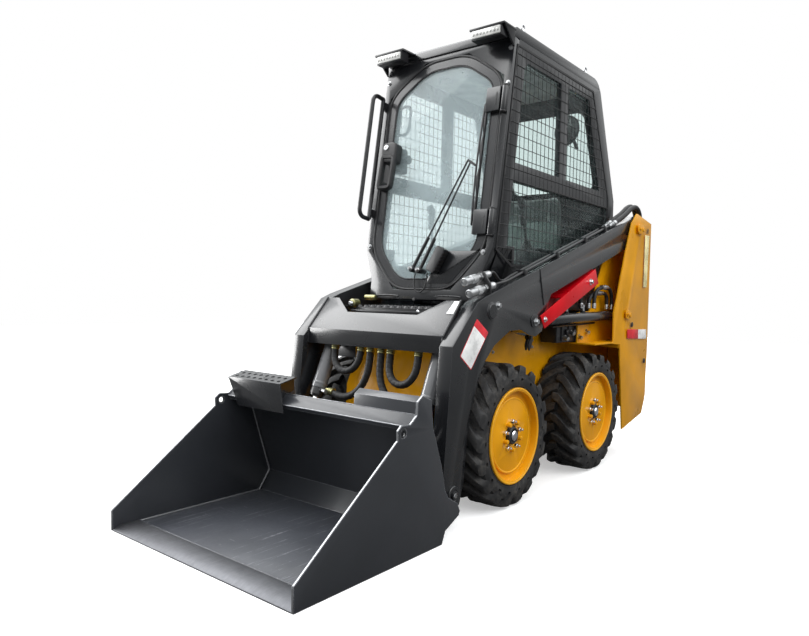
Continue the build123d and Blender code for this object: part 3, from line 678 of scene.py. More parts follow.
def smoothByAngle():
    # a group that shades every face smooth and marks the edges over an angle sharp
    group = bpy.data.node_groups.new("smoothByAngle", "GeometryNodeTree")
    for way in ("INPUT", "OUTPUT"):
        group.interface.new_socket("Geometry", in_out=way, socket_type="NodeSocketGeometry")
    source, sink, faces, edges, angle, compare = (group.nodes.new(kind) for kind in (
        "NodeGroupInput", "NodeGroupOutput", "GeometryNodeSetShadeSmooth",
        "GeometryNodeSetShadeSmooth", "GeometryNodeInputMeshEdgeAngle",
        "FunctionNodeCompare"))
    faces.domain, edges.domain = "FACE", "EDGE"
    edges.inputs["Shade Smooth"].default_value = False
    compare.operation = "GREATER_THAN"
    compare.inputs["B"].default_value = rounded["angle"]
    for out, into in ((source.outputs[0], faces.inputs["Geometry"]),
                      (faces.outputs[0], edges.inputs["Geometry"]),
                      (angle.outputs["Unsigned Angle"], compare.inputs["A"]),
                      (compare.outputs[0], edges.inputs["Selection"]),
                      (edges.outputs[0], sink.inputs[0])):
        group.links.new(out, into)
    return group


def addModifier(piece, name, kind, **settings):
    modifier = piece.modifiers.new(name, kind)
    for key, value in settings.items():
        setattr(modifier, key, value)
    return modifier


def finishCadNodes():
    # weld the loose triangles, melt flat faces together, round the edges, shade smooth
    smoother = smoothByAngle()
    for finish, names in nodeFinish.items():
        for name in names.split():
            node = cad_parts[name]
            node.data.materials.clear()
            node.data.materials.append(finishes[finish])
            addModifier(node, "weld", "WELD", merge_threshold=rounded["weld"])
            addModifier(node, "melt", "DECIMATE", decimate_type="DISSOLVE",
                        angle_limit=rounded["flat"])
            if name not in noRounding:
                addModifier(node, "roundEdges", "BEVEL", width=rounded["width"],
                            segments=rounded["segments"], limit_method="ANGLE",
                            angle_limit=rounded["angle"], use_clamp_overlap=True)
            addModifier(node, "smooth", "NODES", node_group=smoother)


finishCadNodes()
print("finishes on", len(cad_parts), "nodes")


hoseLook = {"radius": 0.015, "rings": 0.002, "sides": 16, "wrapPitch": 0.021,
            "wrapDepth": 0.0011, "notch": 0.09}
# each hose's length, then its points (x, station, z) in metres from under the cross plate
hoseRoutes = {
    "hose_loop_left": (0.352, [
        (0.08, -0.362, 0.64), (0.079, -0.368, 0.592), (0.085, -0.378, 0.545),
        (0.12, -0.389, 0.508), (0.175, -0.391, 0.504), (0.214, -0.383, 0.54),
        (0.224, -0.373, 0.59), (0.222, -0.366, 0.64)]),
    "hose_loop_right": (0.298, [
        (-0.222, -0.366, 0.64), (-0.223, -0.371, 0.602), (-0.212, -0.379, 0.564),
        (-0.177, -0.386, 0.536), (-0.125, -0.385, 0.533), (-0.089, -0.378, 0.562),
        (-0.078, -0.369, 0.602), (-0.078, -0.362, 0.64)]),
    "hose_drop_left": (0.362, [
        (0.03, -0.36, 0.64), (0.028, -0.366, 0.58), (0.034, -0.374, 0.52),
        (0.062, -0.382, 0.466), (0.112, -0.388, 0.432), (0.17, -0.392, 0.426),
        (0.232, -0.393, 0.44)]),
    "hose_drop_right": (0.361, [
        (-0.03, -0.36, 0.64), (-0.028, -0.366, 0.58), (-0.036, -0.374, 0.52),
        (-0.066, -0.382, 0.464), (-0.116, -0.388, 0.43), (-0.172, -0.392, 0.424),
        (-0.232, -0.393, 0.44)]),
}


def splineOf(points):
    # the line of an order 3 NURBS spline that ends on its first and last control points
    curve = bpy.data.curves.new("route", "CURVE")
    curve.dimensions = "3D"
    spline = curve.splines.new("NURBS")
    spline.points.add(len(points) - 1)
    for point, place in zip(spline.points, points):
        point.co = (*place, 1)
    spline.order_u = 3
    spline.use_endpoint_u = True
    spline.resolution_u = 48
    holder = bpy.data.objects.new("route", curve)
    mesh = bpy.data.meshes.new_from_object(holder)
    line = pointsOf(mesh)
    bpy.data.objects.remove(holder)
    bpy.data.meshes.remove(mesh)
    bpy.data.curves.remove(curve)
    return line


def pointsOf(mesh):
    # the vertices' places as rows of x, y, z
    flat = np.empty(len(mesh.vertices) * 3)
    mesh.vertices.foreach_get("co", flat)
    return flat.reshape(-1, 3)


def evenly(points, spacing):
    # the spline through the points, cut at equal distances along it, and its length
    line = splineOf(points)
    along = np.concatenate([[0], np.cumsum(np.linalg.norm(np.diff(line, axis=0), axis=1))])
    wanted = np.linspace(0, along[-1], max(4, int(along[-1] / spacing)))
    line = np.stack([np.interp(wanted, along, line[:, k]) for k in range(3)], -1)
    return line, float(np.linalg.norm(np.diff(line, axis=0), axis=1).sum())


def wrappedHose(line, radius):
    # radius(i, j) = radius - depth * a narrow notch that winds round once for each pitch
    path, normal, binormal = pathFrames(line)
    along = np.arange(len(path))[:, None] * np.linalg.norm(path[1] - path[0])
    angle = around(hoseLook["sides"])[None]
    turnPart = (along / hoseLook["wrapPitch"] + angle / (2 * math.pi)) % 1
    notch = np.exp(-((turnPart - 0.5) / hoseLook["notch"]) ** 2)
    r = (radius - hoseLook["wrapDepth"] * notch)[..., None]
    return skinned(path[:, None] + normal[:, None] * np.cos(angle)[..., None] * r
                   + binormal[:, None] * np.sin(angle)[..., None] * r)


def ferrule(at, direction, length=0.022, radius=0.0172):
    # crimped sleeve with two pressed grooves
    d = -unit(direction)
    rings = [(0, radius * 0.88), (0.002, radius)]
    for groove in (0.3, 0.62):
        rings += [(length * groove - 0.002, radius), (length * groove, radius * 0.93),
                  (length * groove + 0.002, radius)]
    rings += [(length - 0.002, radius), (length, radius * 0.9)]
    return lathe(rings, np.asarray(at) - d * 0.001, d, 20)


def makeCord(name, shape, body, ends=(), endsFinish=None,
             smooth=60, node=None):
    # the hose, and the fittings on its ends as a second piece
    hose = makePiece(name if node is None else name + "_wrap", shape, "hoseRubber", body,
                     smooth, node=node)
    fittings = [makePiece(name + "_ends", list(ends), endsFinish, body)] if ends else []


def looseHose(name, points, radius, body):
    # a plain hose along a spline, with a crimped sleeve at each end
    line, length = evenly(points, 0.004)
    ends = [ferrule(line[0], line[0] - line[4], 0.026, radius * 1.16),
            ferrule(line[-1], line[-1] - line[-5], 0.026, radius * 1.16)]
    makeCord(name, roundBar(line, radius, 14), body, ends, "zincPlate")
    print(name, "length", round(length, 3), "m")


def buildHoses():
    # loops end under the plate again, drops in a screwed fitting that points outwards
    for name, (length, route) in hoseRoutes.items():
        line, _ = evenly(route, hoseLook["rings"])
        loop = "loop" in name
        ends = [ferrule(line[0], line[0] - line[6])]
        if loop:
            ends.append(ferrule(line[-1], line[-1] - line[-7]))
        else:
            out = np.array([np.sign(line[-1][0]), 0.0, 0.0])
            ends += [ferrule(line[-1], out, 0.03),
                     hexBolt(line[-1], out, 0.027, 0.014, washer=False),
                     lathe([(0.012, 0.0095), (0.0315, 0.0095)], line[-1], out, 16)]
        makeCord(name,
                 wrappedHose(line, hoseLook["radius"]), "lift_arm", ends, "goldZinc",
                 smooth=50, node=name)


buildHoses()
print("hoses done")


wheelX, wheelHalf = (wheelLow[0] + wheelHigh[0]) / 2, (wheelHigh[0] - wheelLow[0]) / 2
tyreLook = {"crown": 0.268, "beadRadius": 0.1965, "lugs": 18, "lugHalf": 0.0225,
            "flare": 0.005, "skew": 0.36, "wallLow": 0.2075, "wallHigh": 0.2545,
            "bulge": 0.004, "holeRadius": 0.2305, "holeHalf": (0.0105, 0.0065),
            "holeDepth": 0.024}
tyreLook["pitch"] = 2 * math.pi / tyreLook["lugs"]


def tyreCasing():
    # a ring turned about x: crown, rounded shoulders, bulging walls, and the beads
    look, half = tyreLook, wheelHalf
    side = [(half - 0.0035, look["wallHigh"]), (half - 0.01, 0.26),
            (half - 0.024, 0.2655), (half - 0.046, look["crown"]),
            (0.0, look["crown"] + 0.001)]
    crown = side + [(-x, r) for x, r in reversed(side[:-1])]
    bead = [(half - 0.002, look["wallLow"]), (half - 0.003, 0.2035),
            (half - 0.006, 0.203), (half - 0.008, 0.201),
            (half - 0.008, look["beadRadius"]), (half - 0.03, look["beadRadius"] - 0.004)]
    turned = [lathe(profile, (0, 0, 0), alongX, look["lugs"] * 8) for profile in (crown, bead)]
    shoulder, ring = ((points, [faces[0][:, ::-1]]) for points, faces in turned)
    one = joinShapes(holedWall(), ring)
    return joinShapes(shoulder, one, mirrorShape(one))


def holedWall():
    # one cell of the wall for each hole: the first ring is the cell's edge, the next two
    # close in to the oval, and three more go down the hole and over its bottom; the cell
    # is then repeated round the tyre
    look = tyreLook
    low, high, middle = look["wallLow"], look["wallHigh"], look["holeRadius"]
    t = np.linspace(-1, 1, 9)[:-1]
    edgeA = np.concatenate([t, np.ones(8), -t, -np.ones(8)]) * look["pitch"] / 2
    edgeR = np.concatenate([-np.ones(8), t, np.ones(8), -t])
    edgeR = low + (edgeR + 1) / 2 * (high - low)
    spin = np.arctan2(edgeR - middle, edgeA * middle)
    ovalA = np.cos(spin) * look["holeHalf"][0] / middle
    ovalR = middle + np.sin(spin) * look["holeHalf"][1]
    shares = (0.94, 0.86, 0.02)
    angle = np.stack([edgeA, (edgeA + ovalA * 2) / 3, ovalA, *(ovalA * s for s in shares)])
    radius = np.stack([edgeR, (edgeR + ovalR * 2) / 3, ovalR,
                       *(middle + (ovalR - middle) * s for s in shares)])
    out = wheelHalf - 0.0035 + look["bulge"] * np.sin(
        np.clip((radius - low) / (high - low), 0, 1) * math.pi)
    depth = np.array([0, 0, 0, 0.002, look["holeDepth"], look["holeDepth"]])[:, None]
    turns = np.arange(look["lugs"])[:, None, None] * look["pitch"]
    a, r, x = angle[None] + turns, radius[None] + 0 * turns, (out - depth)[None] + 0 * turns
    points = np.stack([x, r * np.cos(a), r * np.sin(a)], -1).reshape(-1, 3)
    rows, cols = angle.shape
    cell = gridFaces(rows, cols, closeCols=True)
    return points, steppedFaces([cell], look["lugs"], rows * cols)


def treadLugs():
    # lug(i, j): i runs from past the middle out over the shoulder, j across the lug's block;
    # its angle grows with the distance out, fast at first, which bends it like a chevron
    look, count = tyreLook, tyreLook["lugs"]
    out = np.array([-0.01, 0.02, 0.045, 0.068, 0.088, 0.101, 0.1055, 0.107])
    top = np.array([0.2895, 0.2912, 0.2915, 0.2908, 0.289, 0.285, 0.276, 0.26])
    base = np.array([0.266, 0.266, 0.266, 0.2655, 0.2645, 0.26, 0.252, 0.248])
    wide = np.array([0.72, 0.92, 1.0, 1.02, 1.06, 1.1, 1.12, 1.12]) * look["lugHalf"]
    lean = look["skew"] * (np.clip(out, 0, None) / wheelHalf) ** 1.35
    across = np.array([-1.0, -1.0, -0.86, 0.0, 0.86, 1.0, 1.0])
    flare = np.array([-look["flare"], 0, 0, 0, 0, 0, look["flare"]])
    share = np.array([0, 0.93, 1, 1.03, 1, 0.93, 0])
    r = base[:, None] + (top - base)[:, None] * share
    turns = np.arange(count)[:, None, None] * 2 * math.pi / count
    a = turns + (lean[:, None] + (wide[:, None] * across + flare) / r)[None]
    x = out[None, :, None] + 0 * a
    points = np.stack([x, r[None] * np.cos(a), r[None] * np.sin(a)], -1).reshape(-1, 3)
    rows, cols = r.shape
    left = points, steppedFaces((gridFaces(rows, cols)[:, ::-1], *endCaps(rows, cols)),
                                count, rows * cols)
    # the other half of the tread is the mirror image, half a pitch further round
    c, s = math.cos(math.pi / count), math.sin(math.pi / count)
    return joinShapes(left, moveShape(mirrorShape(left), turn=[alongX, (0, c, -s), (0, s, c)]))


def wheelTrim():
    # a bead ring on the disc and a rim lip; a dark hub; a grease cap and five studs with nuts
    face, centre = wheelHalf - 0.0245, (0, 0, 0)
    groove = [(face - 0.004, 0.156), (face + 0.003, 0.155), (face + 0.0048, 0.151),
              (face + 0.003, 0.147), (face - 0.004, 0.146)]
    lip = [(wheelHalf - 0.01, 0.1965), (wheelHalf - 0.002, 0.1965),
           (wheelHalf + 0.0006, 0.194), (wheelHalf + 0.0006, 0.1895),
           (wheelHalf - 0.002, 0.187), (wheelHalf - 0.017, 0.186)]
    hub = [(face - 0.01, 0.036), (face + 0.012, 0.036), (face + 0.016, 0.033),
           (face + 0.016, 0.027), (face + 0.006, 0.024), (face + 0.006, 0.004)]
    cap = [(face + 0.006, 0.021), (face + 0.018, 0.021), (face + 0.023, 0.016),
           (face + 0.024, 0.003)]
    nuts = [lathe(cap, centre, alongX, 24)]
    for k in range(5):
        a = math.pi / 2 + k * 2 * math.pi / 5
        at = np.array([face, 0.058 * math.cos(a), 0.058 * math.sin(a)])
        nuts += [hexBolt(at, alongX, 0.018, 0.013),
                 lathe([(0.012, 0.0055), (0.024, 0.0055), (0.026, 0.0045)], at, alongX, 14)]
    return ([ringLathe(groove, centre, alongX, 72), ringLathe(lip, centre, alongX, 96)],
            [lathe(hub, centre, alongX, 40)], nuts)


def buildWheels():
    # one wheel's shapes, mirrored for the right side and moved to each axle
    rings, hub, nuts = wheelTrim()
    rubber = [tyreCasing(), treadLugs()]
    rearLow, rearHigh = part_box("tyre_rear_left")
    rows = {"front": axle.y, "rear": (rearLow[1] + rearHigh[1]) / 2}
    for row, station in rows.items():
        for side, sign in sides:
            wheel = f"{row}_{side}"
            for name, shapes, finish, smooth, node in (
                    (f"tyre_{wheel}_tread", rubber, "tyreRubber", 32, f"tyre_{wheel}"),
                    (f"rim_{wheel}_rings", rings, "wheelPaint", 35, None),
                    (f"hub_{wheel}", hub, "castIron", 35, None),
                    (f"wheel_nuts_{wheel}", nuts, "chrome", 35, None)):
                shape = joinShapes(*shapes)
                shape = shape if sign > 0 else mirrorShape(shape)
                shape = moveShape(shape, (sign * wheelX, station - axle.y, axle.z))
                makePiece(name, shape, finish, wheel + "_wheel", smooth, node=node)


buildWheels()
print("wheels done")


frontRef = {"station": -0.045, "z": 1.07, "slope": math.radians(8.5)}
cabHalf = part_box("cab_side_left")[1][0]
screenLook = {"wire": 0.0017, "pitch": (0.0385, 0.0485), "frame": 0.011, "sides": 6}


def frontStation(z):
    # the cab's front face leans back by its slope
    return frontRef["station"] + (z - frontRef["z"]) * math.tan(frontRef["slope"])


def onFront(x, z, out=0.0):
    # a point on the sloping front face at a height, moved out along its normal
    s = frontRef["slope"]
    return np.array([x, frontStation(z) - out * math.cos(s), z + out * math.sin(s)])


def frontShape(shape, out=0.0):
    # local x, y, z become across, up the slope, and out of it, from the reference point
    s = frontRef["slope"]
    turn = [alongX, (0, math.sin(s), -math.cos(s)), (0, math.cos(s), math.sin(s))]
    return moveShape(moveShape(shape, (0, 0, out)), (0, frontRef["station"], frontRef["z"]),
                     turn)


def upFront(z):
    # the distance up the slope from the reference point to a height
    return (z - frontRef["z"]) / math.cos(frontRef["slope"])


def frontOutline(corners, radius, steps):
    # from corners (across, height in the frame)
    return roundOutline([(x, upFront(z)) for x, z in corners], radius, steps)


def spansInside(outline, values, axis):
    # where a line of constant coordinate crosses a convex outline: its lowest and highest
    # crossing on the other coordinate
    start, end = outline, np.roll(outline, -1, 0)
    a, b = start[:, axis][None], end[:, axis][None]
    v = values[:, None]
    crossed = (a - v) * (b - v) < 0
    t = (v - a) / np.where(b == a, 1, b - a)
    other = start[:, 1 - axis][None] + t * (end[:, 1 - axis] - start[:, 1 - axis])[None]
    return (np.where(crossed, other, np.inf).min(1), np.where(crossed, other, -np.inf).max(1))


def straightWires(starts, ends, radius):
    # every wire is two rings of points, one round each end
    axis = (ends - starts) / np.linalg.norm(ends - starts, axis=1, keepdims=True)
    first, count = np.array(alongX, float), screenLook["sides"]
    angle = around(count)
    ring = (first[None, None] * np.cos(angle)[None, :, None]
            + np.cross(axis, first)[:, None] * np.sin(angle)[None, :, None]) * radius
    points = np.stack([starts[:, None] + ring, ends[:, None] + ring], 1).reshape(-1, 3)
    one = gridFaces(2, count, closeCols=True)[:, ::-1], *endCaps(2, count)
    return points, steppedFaces(one, len(starts), 2 * count)


def ringOf(outline, section):
    # a loop section of (inset from the outline, height out of its plane), carried round
    rings = [np.column_stack([insetOutline(outline, d), np.full(len(outline), h)])
             for d, h in section]
    faces = gridFaces(len(section), len(outline), closeRows=True, closeCols=True)
    return np.concatenate(rings), [faces]


def roundRing(outline, inset, height, radius, steps):
    # a ring of round section whose middle lies inset from the outline
    return ringOf(outline, [(inset + radius * math.cos(a), height + radius * math.sin(a))
                            for a in around(steps)])


def buildScreens():
    # upright and level wires clipped to the window guard's outline, welded to a flat frame
    look = screenLook
    outline = np.array([(frontStation(1.05) + 0.02, 1.05), (0.104, 0.985),
                        (1.012, 0.985), (1.136, 1.2), (1.136, 1.4), (0.896, 1.926),
                        (frontStation(1.926) + 0.022, 1.926)])
    inside, outer = cabHalf + 0.0005, cabHalf + 0.0025
    section = [(0, inside), (0, outer), (look["frame"], outer), (look["frame"], inside)]
    points, faces = moveShape(ringOf(outline, section), turn=[alongZ, alongX, alongY])
    shapes = [(points, [faces[0][:, ::-1]])]
    for axis, pitch, x in ((0, look["pitch"][0], outer - 0.003),
                           (1, look["pitch"][1], outer - 0.0012)):
        low, high = outline[:, axis].min(), outline[:, axis].max()
        values = np.arange(low + pitch * 0.6, high, pitch)
        a, b = spansInside(outline, values, axis)
        keep = np.isfinite(a) & (b - a > 0.02)
        ends = []
        for reach in (a[keep], b[keep]):
            place = np.full((len(reach), 3), x)
            place[:, 1 + axis], place[:, 2 - axis] = values[keep], reach
            ends.append(place)
        shapes.append(straightWires(*ends, look["wire"]))
    makePiece("side_screens_wire", shapes, "meshPaint", "chassis", 50, both=True,
              node="side_screens")


buildScreens()
print("side guards done")


doorLook = {"half": 0.305, "low": 0.888, "high": 1.92, "corner": 0.075, "frame": 0.04,
            "seal": 0.0062, "glassSeal": 0.0032}
wiperLook = {"pivots": ((-0.037, 0.966), (0.004, 0.96)),
             "top": ((0.196, 1.428), (0.212, 1.424)), "blade": (0.238, 1.15, 0.243, 1.668),
             "arm": 0.0042, "head": 0.009, "out": 0.034}
hingeHeights = (1.162, 1.682)
slopeUp = np.array([0, math.sin(frontRef["slope"]), math.cos(frontRef["slope"])])
frontNormal = np.array([0, -slopeUp[2], slopeUp[1]])


def frontPlate(outline, thickness, edge, out, edgeSteps=3):
    # a plate that lies on the sloping front, or stands out from it
    return frontShape(plate(outline, thickness, edge, edgeSteps), out)


def hingePlates(x0, x1, half, thickness, edge, out):
    # one upright plate for each hinge, centred on its height
    return [frontPlate(rectangle(x0, upFront(z) - half, x1, upFront(z) + half, 0.003),
                       thickness, edge, out) for z in hingeHeights]


def frontBar(a, b, radius, out, sides=10):
    # round bar between two (x, z) places at one distance out from the front face
    return tube([onFront(*a, out), onFront(*b, out)], radius, 2, sides)


def doorOutline():
    # eight corners on the sloping front, rounded
    low, high, half = upFront(doorLook["low"]), upFront(doorLook["high"]), doorLook["half"]
    corners = [(-half + 0.15, low), (half - 0.15, low), (half, low + 0.175),
               (half, high - 0.135), (half - 0.19, high), (-half + 0.19, high),
               (-half, high - 0.135), (-half, low + 0.175)]
    return roundOutline(corners, doorLook["corner"], 9)


def buildDoor():
    # the frame with its gusset and hinge leaves, both seals, and the hinges' slots and caps
    outline, w = doorOutline(), doorLook["frame"]
    section = [(w, -0.028), (w, -0.005), (w - 0.004, -0.001), (0.003, -0.001), (0, -0.004),
               (0, -0.028)]
    low = upFront(doorLook["low"])
    gusset = roundOutline([(0.02, low + 0.02), (0.15, low + 0.02), (0.286, low + 0.17),
                           (0.286, upFront(1.045)), (0.096, upFront(1.05))], 0.02, 5)
    shapes = [frontShape(ringOf(outline, section)), frontPlate(gusset, 0.008, 0.0015, -0.006),
              *hingePlates(0.248, 0.315, 0.052, 0.0225, 0.0014, 0.0008)]
    makePiece("door_frame_panel", shapes, "charcoalPaint", "cab_door", node="door_frame")
    for name, inset, height, radius, steps in (
            ("door_seal", -0.0045, -0.003, doorLook["seal"], 10),
            ("door_pane_seal", w + 0.001, -0.004, doorLook["glassSeal"], 8)):
        makePiece(name, frontShape(roundRing(outline, inset, height, radius, steps)),
                  "sealRubber", "cab_door", 60)
    # painted shade: each hinge's slot is a thin dark sheet on the block's face
    makePiece("door_hinge_slots", hingePlates(0.295, 0.3025, 0.028, 0.0008, 0.0002, 0.0231),
              "sealRubber", "cab_door")
    cap = [(0, 0.0128), (0.004, 0.0128), (0.007, 0.01), (0.008, 0.003)]
    caps = [lathe(cap, onFront(0.33, z, 0.012) + slopeUp * 0.0535 * way, slopeUp * way, 20)
            for z in hingeHeights for way in (1, -1)]
    makePiece("door_hinge_caps", caps, "blackPlastic", "chassis")


def buildHandle():
    # a closed pull under a latch housing, with its key lock
    loop = frontOutline([(-0.292, 1.332), (-0.206, 1.332), (-0.198, 1.492), (-0.284, 1.5)],
                        0.026, 8)
    section = [(0.006, 0.026), (0.016, 0.028), (0.022, 0.032), (0.022, 0.046),
               (0.016, 0.054), (0.006, 0.054), (0, 0.046), (0, 0.03)]
    housing = frontOutline([(-0.284, 1.462), (-0.198, 1.456), (-0.196, 1.54),
                            (-0.222, 1.558), (-0.282, 1.552)], 0.016, 6)
    foot = frontOutline([(-0.29, 1.336), (-0.262, 1.336), (-0.262, 1.376),
                         (-0.29, 1.376)], 0.008, 4)
    grip = [frontShape(ringOf(loop, section)), frontPlate(housing, 0.05, 0.009, -0.001, 5),
            frontPlate(foot, 0.036, 0.004, -0.001, 4)]
    makePiece("door_handle_loop", grip, "blackPlastic", "cab_door", 45, node="door_handle")
    lock = lathe([(0, 0.0135), (0.004, 0.0135), (0.006, 0.012), (0.006, 0.005),
                  (0.003, 0.004)], onFront(-0.256, 1.53, 0.048), frontNormal, 24)
    makePiece("door_lock", lock, "chrome", "cab_door")


def buildWiper():
    # two arms from the pivots to the blade's carrier, the blade with its four yokes
    look, out = wiperLook, wiperLook["out"]
    arms = []
    head = [(-0.03, 0.012), (0.0, 0.014), (0.014, 0.014), (0.019, 0.01), (0.02, 0.003)]
    for pivot, top in zip(look["pivots"], look["top"]):
        knee = tuple(p + (t - p) * 0.3 for p, t in zip(pivot, top))
        arms += [frontBar(pivot, knee, look["head"] * 0.85, out - 0.006),
                 frontBar(knee, top, look["arm"], out - 0.004, 8),
                 lathe(head, onFront(*pivot, out - 0.01), frontNormal, 20)]
    x0, z0, x1, z1 = look["blade"]
    arms.append(frontBar(look["top"][0], (x0, 1.4), 0.0055, out - 0.004, 8))
    alongBlade = lambda t, lift: onFront(x0 + (x1 - x0) * t, z0 + (z1 - z0) * t, lift)
    arms.append(tube([alongBlade(t, 0.016 + 0.012 * math.sin(math.pi * t))
                      for t in np.linspace(0, 1, 9)], 0.0042, 33, 8))
    reach = 0.22
    for t0 in (0.0, 0.26, 0.52, 0.78):
        arms.append(tube([alongBlade(t, 0.006 + 0.01 * math.sin(math.pi * (t - t0) / reach))
                          for t in np.linspace(t0, t0 + reach, 5)], 0.0028, 12, 6))
    makePiece("wiper_arms", arms, "blackPaint", "cab_door", 50)
    half = 0.0045
    lip = frontOutline([(x0 - half, z0), (x0 + half, z0), (x1 + half, z1), (x1 - half, z1)],
                       0.003, 3)
    makePiece("wiper_blade", frontPlate(lip, 0.01, 0.0012, -0.005), "sealRubber",
              "cab_door")
    nuts = [lathe([(0, 0.011), (0.006, 0.011), (0.01, 0.007), (0.016, 0.006)],
                  onFront(*pivot, out + 0.006), frontNormal, 6) for pivot in look["pivots"]]
    makePiece("wiper_nuts", nuts, "zincPlate", "cab_door")


def buildWiperMotor():
    # a ribbed box that leans over, and the washer's hose, which loops back up to it
    c, s = math.cos(math.radians(-26)), math.sin(math.radians(-26))
    box = [roundedBox((-0.024, -0.058, 0.0), (0.024, 0.058, 0.036), 0.004, 0.008)]
    box += [roundedBox((-0.027, y - 0.003, 0.004), (0.027, y + 0.003, 0.034), 0.001)
            for y in np.linspace(-0.04, 0.04, 6)]
    motor = moveShape(joinShapes(*box), (0.086, upFront(1.006), 0.003),
                      [(c, -s, 0), (s, c, 0), alongZ])
    makePiece("wiper_motor", frontShape(motor), "blackPlastic", "cab_door")
    line, length = evenly([onFront(*place) for place in (
        (-0.03, 0.95, 0.012), (-0.03, 0.92, 0.018), (-0.022, 0.88, 0.02),
        (0.004, 0.862, 0.02), (0.032, 0.876, 0.02), (0.04, 0.915, 0.018),
        (0.036, 0.95, 0.012))], 0.004)
    makeCord("washer_hose", roundBar(line, 0.0032), "cab_door")
    print("washer hose", round(length, 3), "m")


def buildSill():
    # two pressed slots in the sill: a thin dark sheet in the shape of each hole, painted
    # shade, under a raised lip, and a plug
    slots, lips, t = [], [], around(28)
    for x in (-0.188, 0.148):
        hole = np.stack([x + 0.062 * np.cos(t), upFront(0.8475)
                         + np.where(np.sin(t) > 0, 0.0035, 0.0095) * np.sin(t)], -1)
        # painted shade: a thin dark sheet on the sill instead of the hole
        slots.append(frontPlate(hole, 0.0008, 0.0003, 0.0001))
        rim = [(x + 0.066 * math.cos(a), upFront(0.8505) + 0.0042 * math.sin(a))
               for a in np.linspace(0.0, math.pi, 16)]
        lips.append(tube([onFront(px, frontRef["z"] + pz * math.cos(frontRef["slope"]),
                                  0.0015) for px, pz in rim], 0.0032, 40, 8))
    slots.append(lathe([(0, 0.008), (0.002, 0.008), (0.003, 0.005)],
                       onFront(-0.03, 0.838, 0), frontNormal, 18))
    makePiece("sill_slots", slots, "sealRubber", "chassis")
    makePiece("sill_lips", lips, "charcoalPaint", "chassis", 60)


def buildCabTrim():
    # bolts on the front frame, and the lamps' lenses and fins
    bolts = [hexBolt(onFront(*spot), frontNormal, 0.013, 0.007) for spot in (
        (-0.328, 1.08), (-0.331, 1.87), (0.331, 1.905), (0.3, 1.04), (0.333, 1.752))]
    makePiece("cab_front_bolts", bolts, "zincPlate", "chassis")
    lenses, cups, fins = [], [], []
    cup = [(0, 0.0066), (0.0022, 0.006), (0.0036, 0.0036), (0.004, 0.0008)]
    for sign in (1, -1):
        x0, x1 = sorted((sign * 0.191, sign * 0.335))
        lenses.append(roundedBox((x0 + 0.003, -0.0205, 1.937), (x1 - 0.003, -0.0115, 1.968),
                                 0.002, 0.004))
        fins += [roundedBox((x0, y, 1.934), (x1, y + 0.0025, 1.973), 0.0008)
                 for y in np.linspace(-0.004, 0.036, 7)]
        cups += [lathe(cup, (x, -0.0205, 1.9525), (0, -1, 0), 14)
                 for x in np.linspace(x0 + 0.014, x1 - 0.014, 8)]
    makePiece("lamp_lenses", lenses + cups, "lampLens", "chassis")
    makePiece("lamp_fins", fins, "blackPaint", "chassis")


buildDoor()
buildHandle()
buildWiper()
buildWiperMotor()
buildSill()
buildCabTrim()
print("cab front done")


padLook = {"voxel": 0.006, "pressure": 4.0, "frames": 20, "cap": 0.011, "shrink": 0.011,
           "grid": 26, "weld": 0.0004}


def padBlock(low, high, corner, bolster, crown):
    # box grid mapped to a rounded block: each point is pulled in at the corners, side
    # bolsters rise by a squared cosine near the ends, and the middle is crowned
    count = padLook["grid"]
    u, v = np.meshgrid(np.linspace(-1, 1, count), np.linspace(-1, 1, count), indexing="ij")
    one = np.ones_like(u)
    cube = ((u, v, one), (v, u, -one), (one, u, v), (-one, v, u), (v, one, u), (u, -one, v))
    points = np.concatenate([np.stack(face, -1).reshape(-1, 3) for face in cube])
    low, high = np.asarray(low, float), np.asarray(high, float)
    half, middle = (high - low) / 2, (high + low) / 2
    core = np.clip(points * half, -(half - corner), half - corner)
    away = points * half - core
    length = np.linalg.norm(away, axis=1, keepdims=True)
    points = core + away / np.maximum(length, 1e-9) * np.minimum(length, corner)
    side = np.clip((np.abs(points[:, 0]) / half[0] - 0.55) / 0.3, 0, 1)
    rise = bolster * np.sin(side * math.pi / 2) ** 2
    rise = rise + crown * np.cos(np.clip(points[:, 0] / half[0], -1, 1) * math.pi / 2) * 0.5
    faces = [np.concatenate([gridFaces(count, count) + k * count * count for k in range(6)])]
    return points, rise, middle, half, faces


def applyModifiers(piece):
    # the evaluated mesh takes the place of the piece's own
    depsgraph = bpy.context.evaluated_depsgraph_get()
    mesh = bpy.data.meshes.new_from_object(piece.evaluated_get(depsgraph))
    old = piece.data
    piece.modifiers.clear()
    piece.data = mesh
    bpy.data.meshes.remove(old)


def swellAsCloth(piece):
    # the places of the points after some frames under pressure, with no weight
    cloth = piece.modifiers.new("swell", "CLOTH")
    cloth.settings.use_pressure = True
    cloth.settings.uniform_pressure_force = padLook["pressure"]
    cloth.settings.effector_weights.gravity = 0
    cloth.settings.quality = 4
    for step in range(1, padLook["frames"] + 1):
        bpy.context.scene.frame_set(step)
    swelled = pointsOf(piece.evaluated_get(bpy.context.evaluated_depsgraph_get()).to_mesh())
    piece.modifiers.remove(cloth)
    bpy.context.scene.frame_set(1)
    return swelled


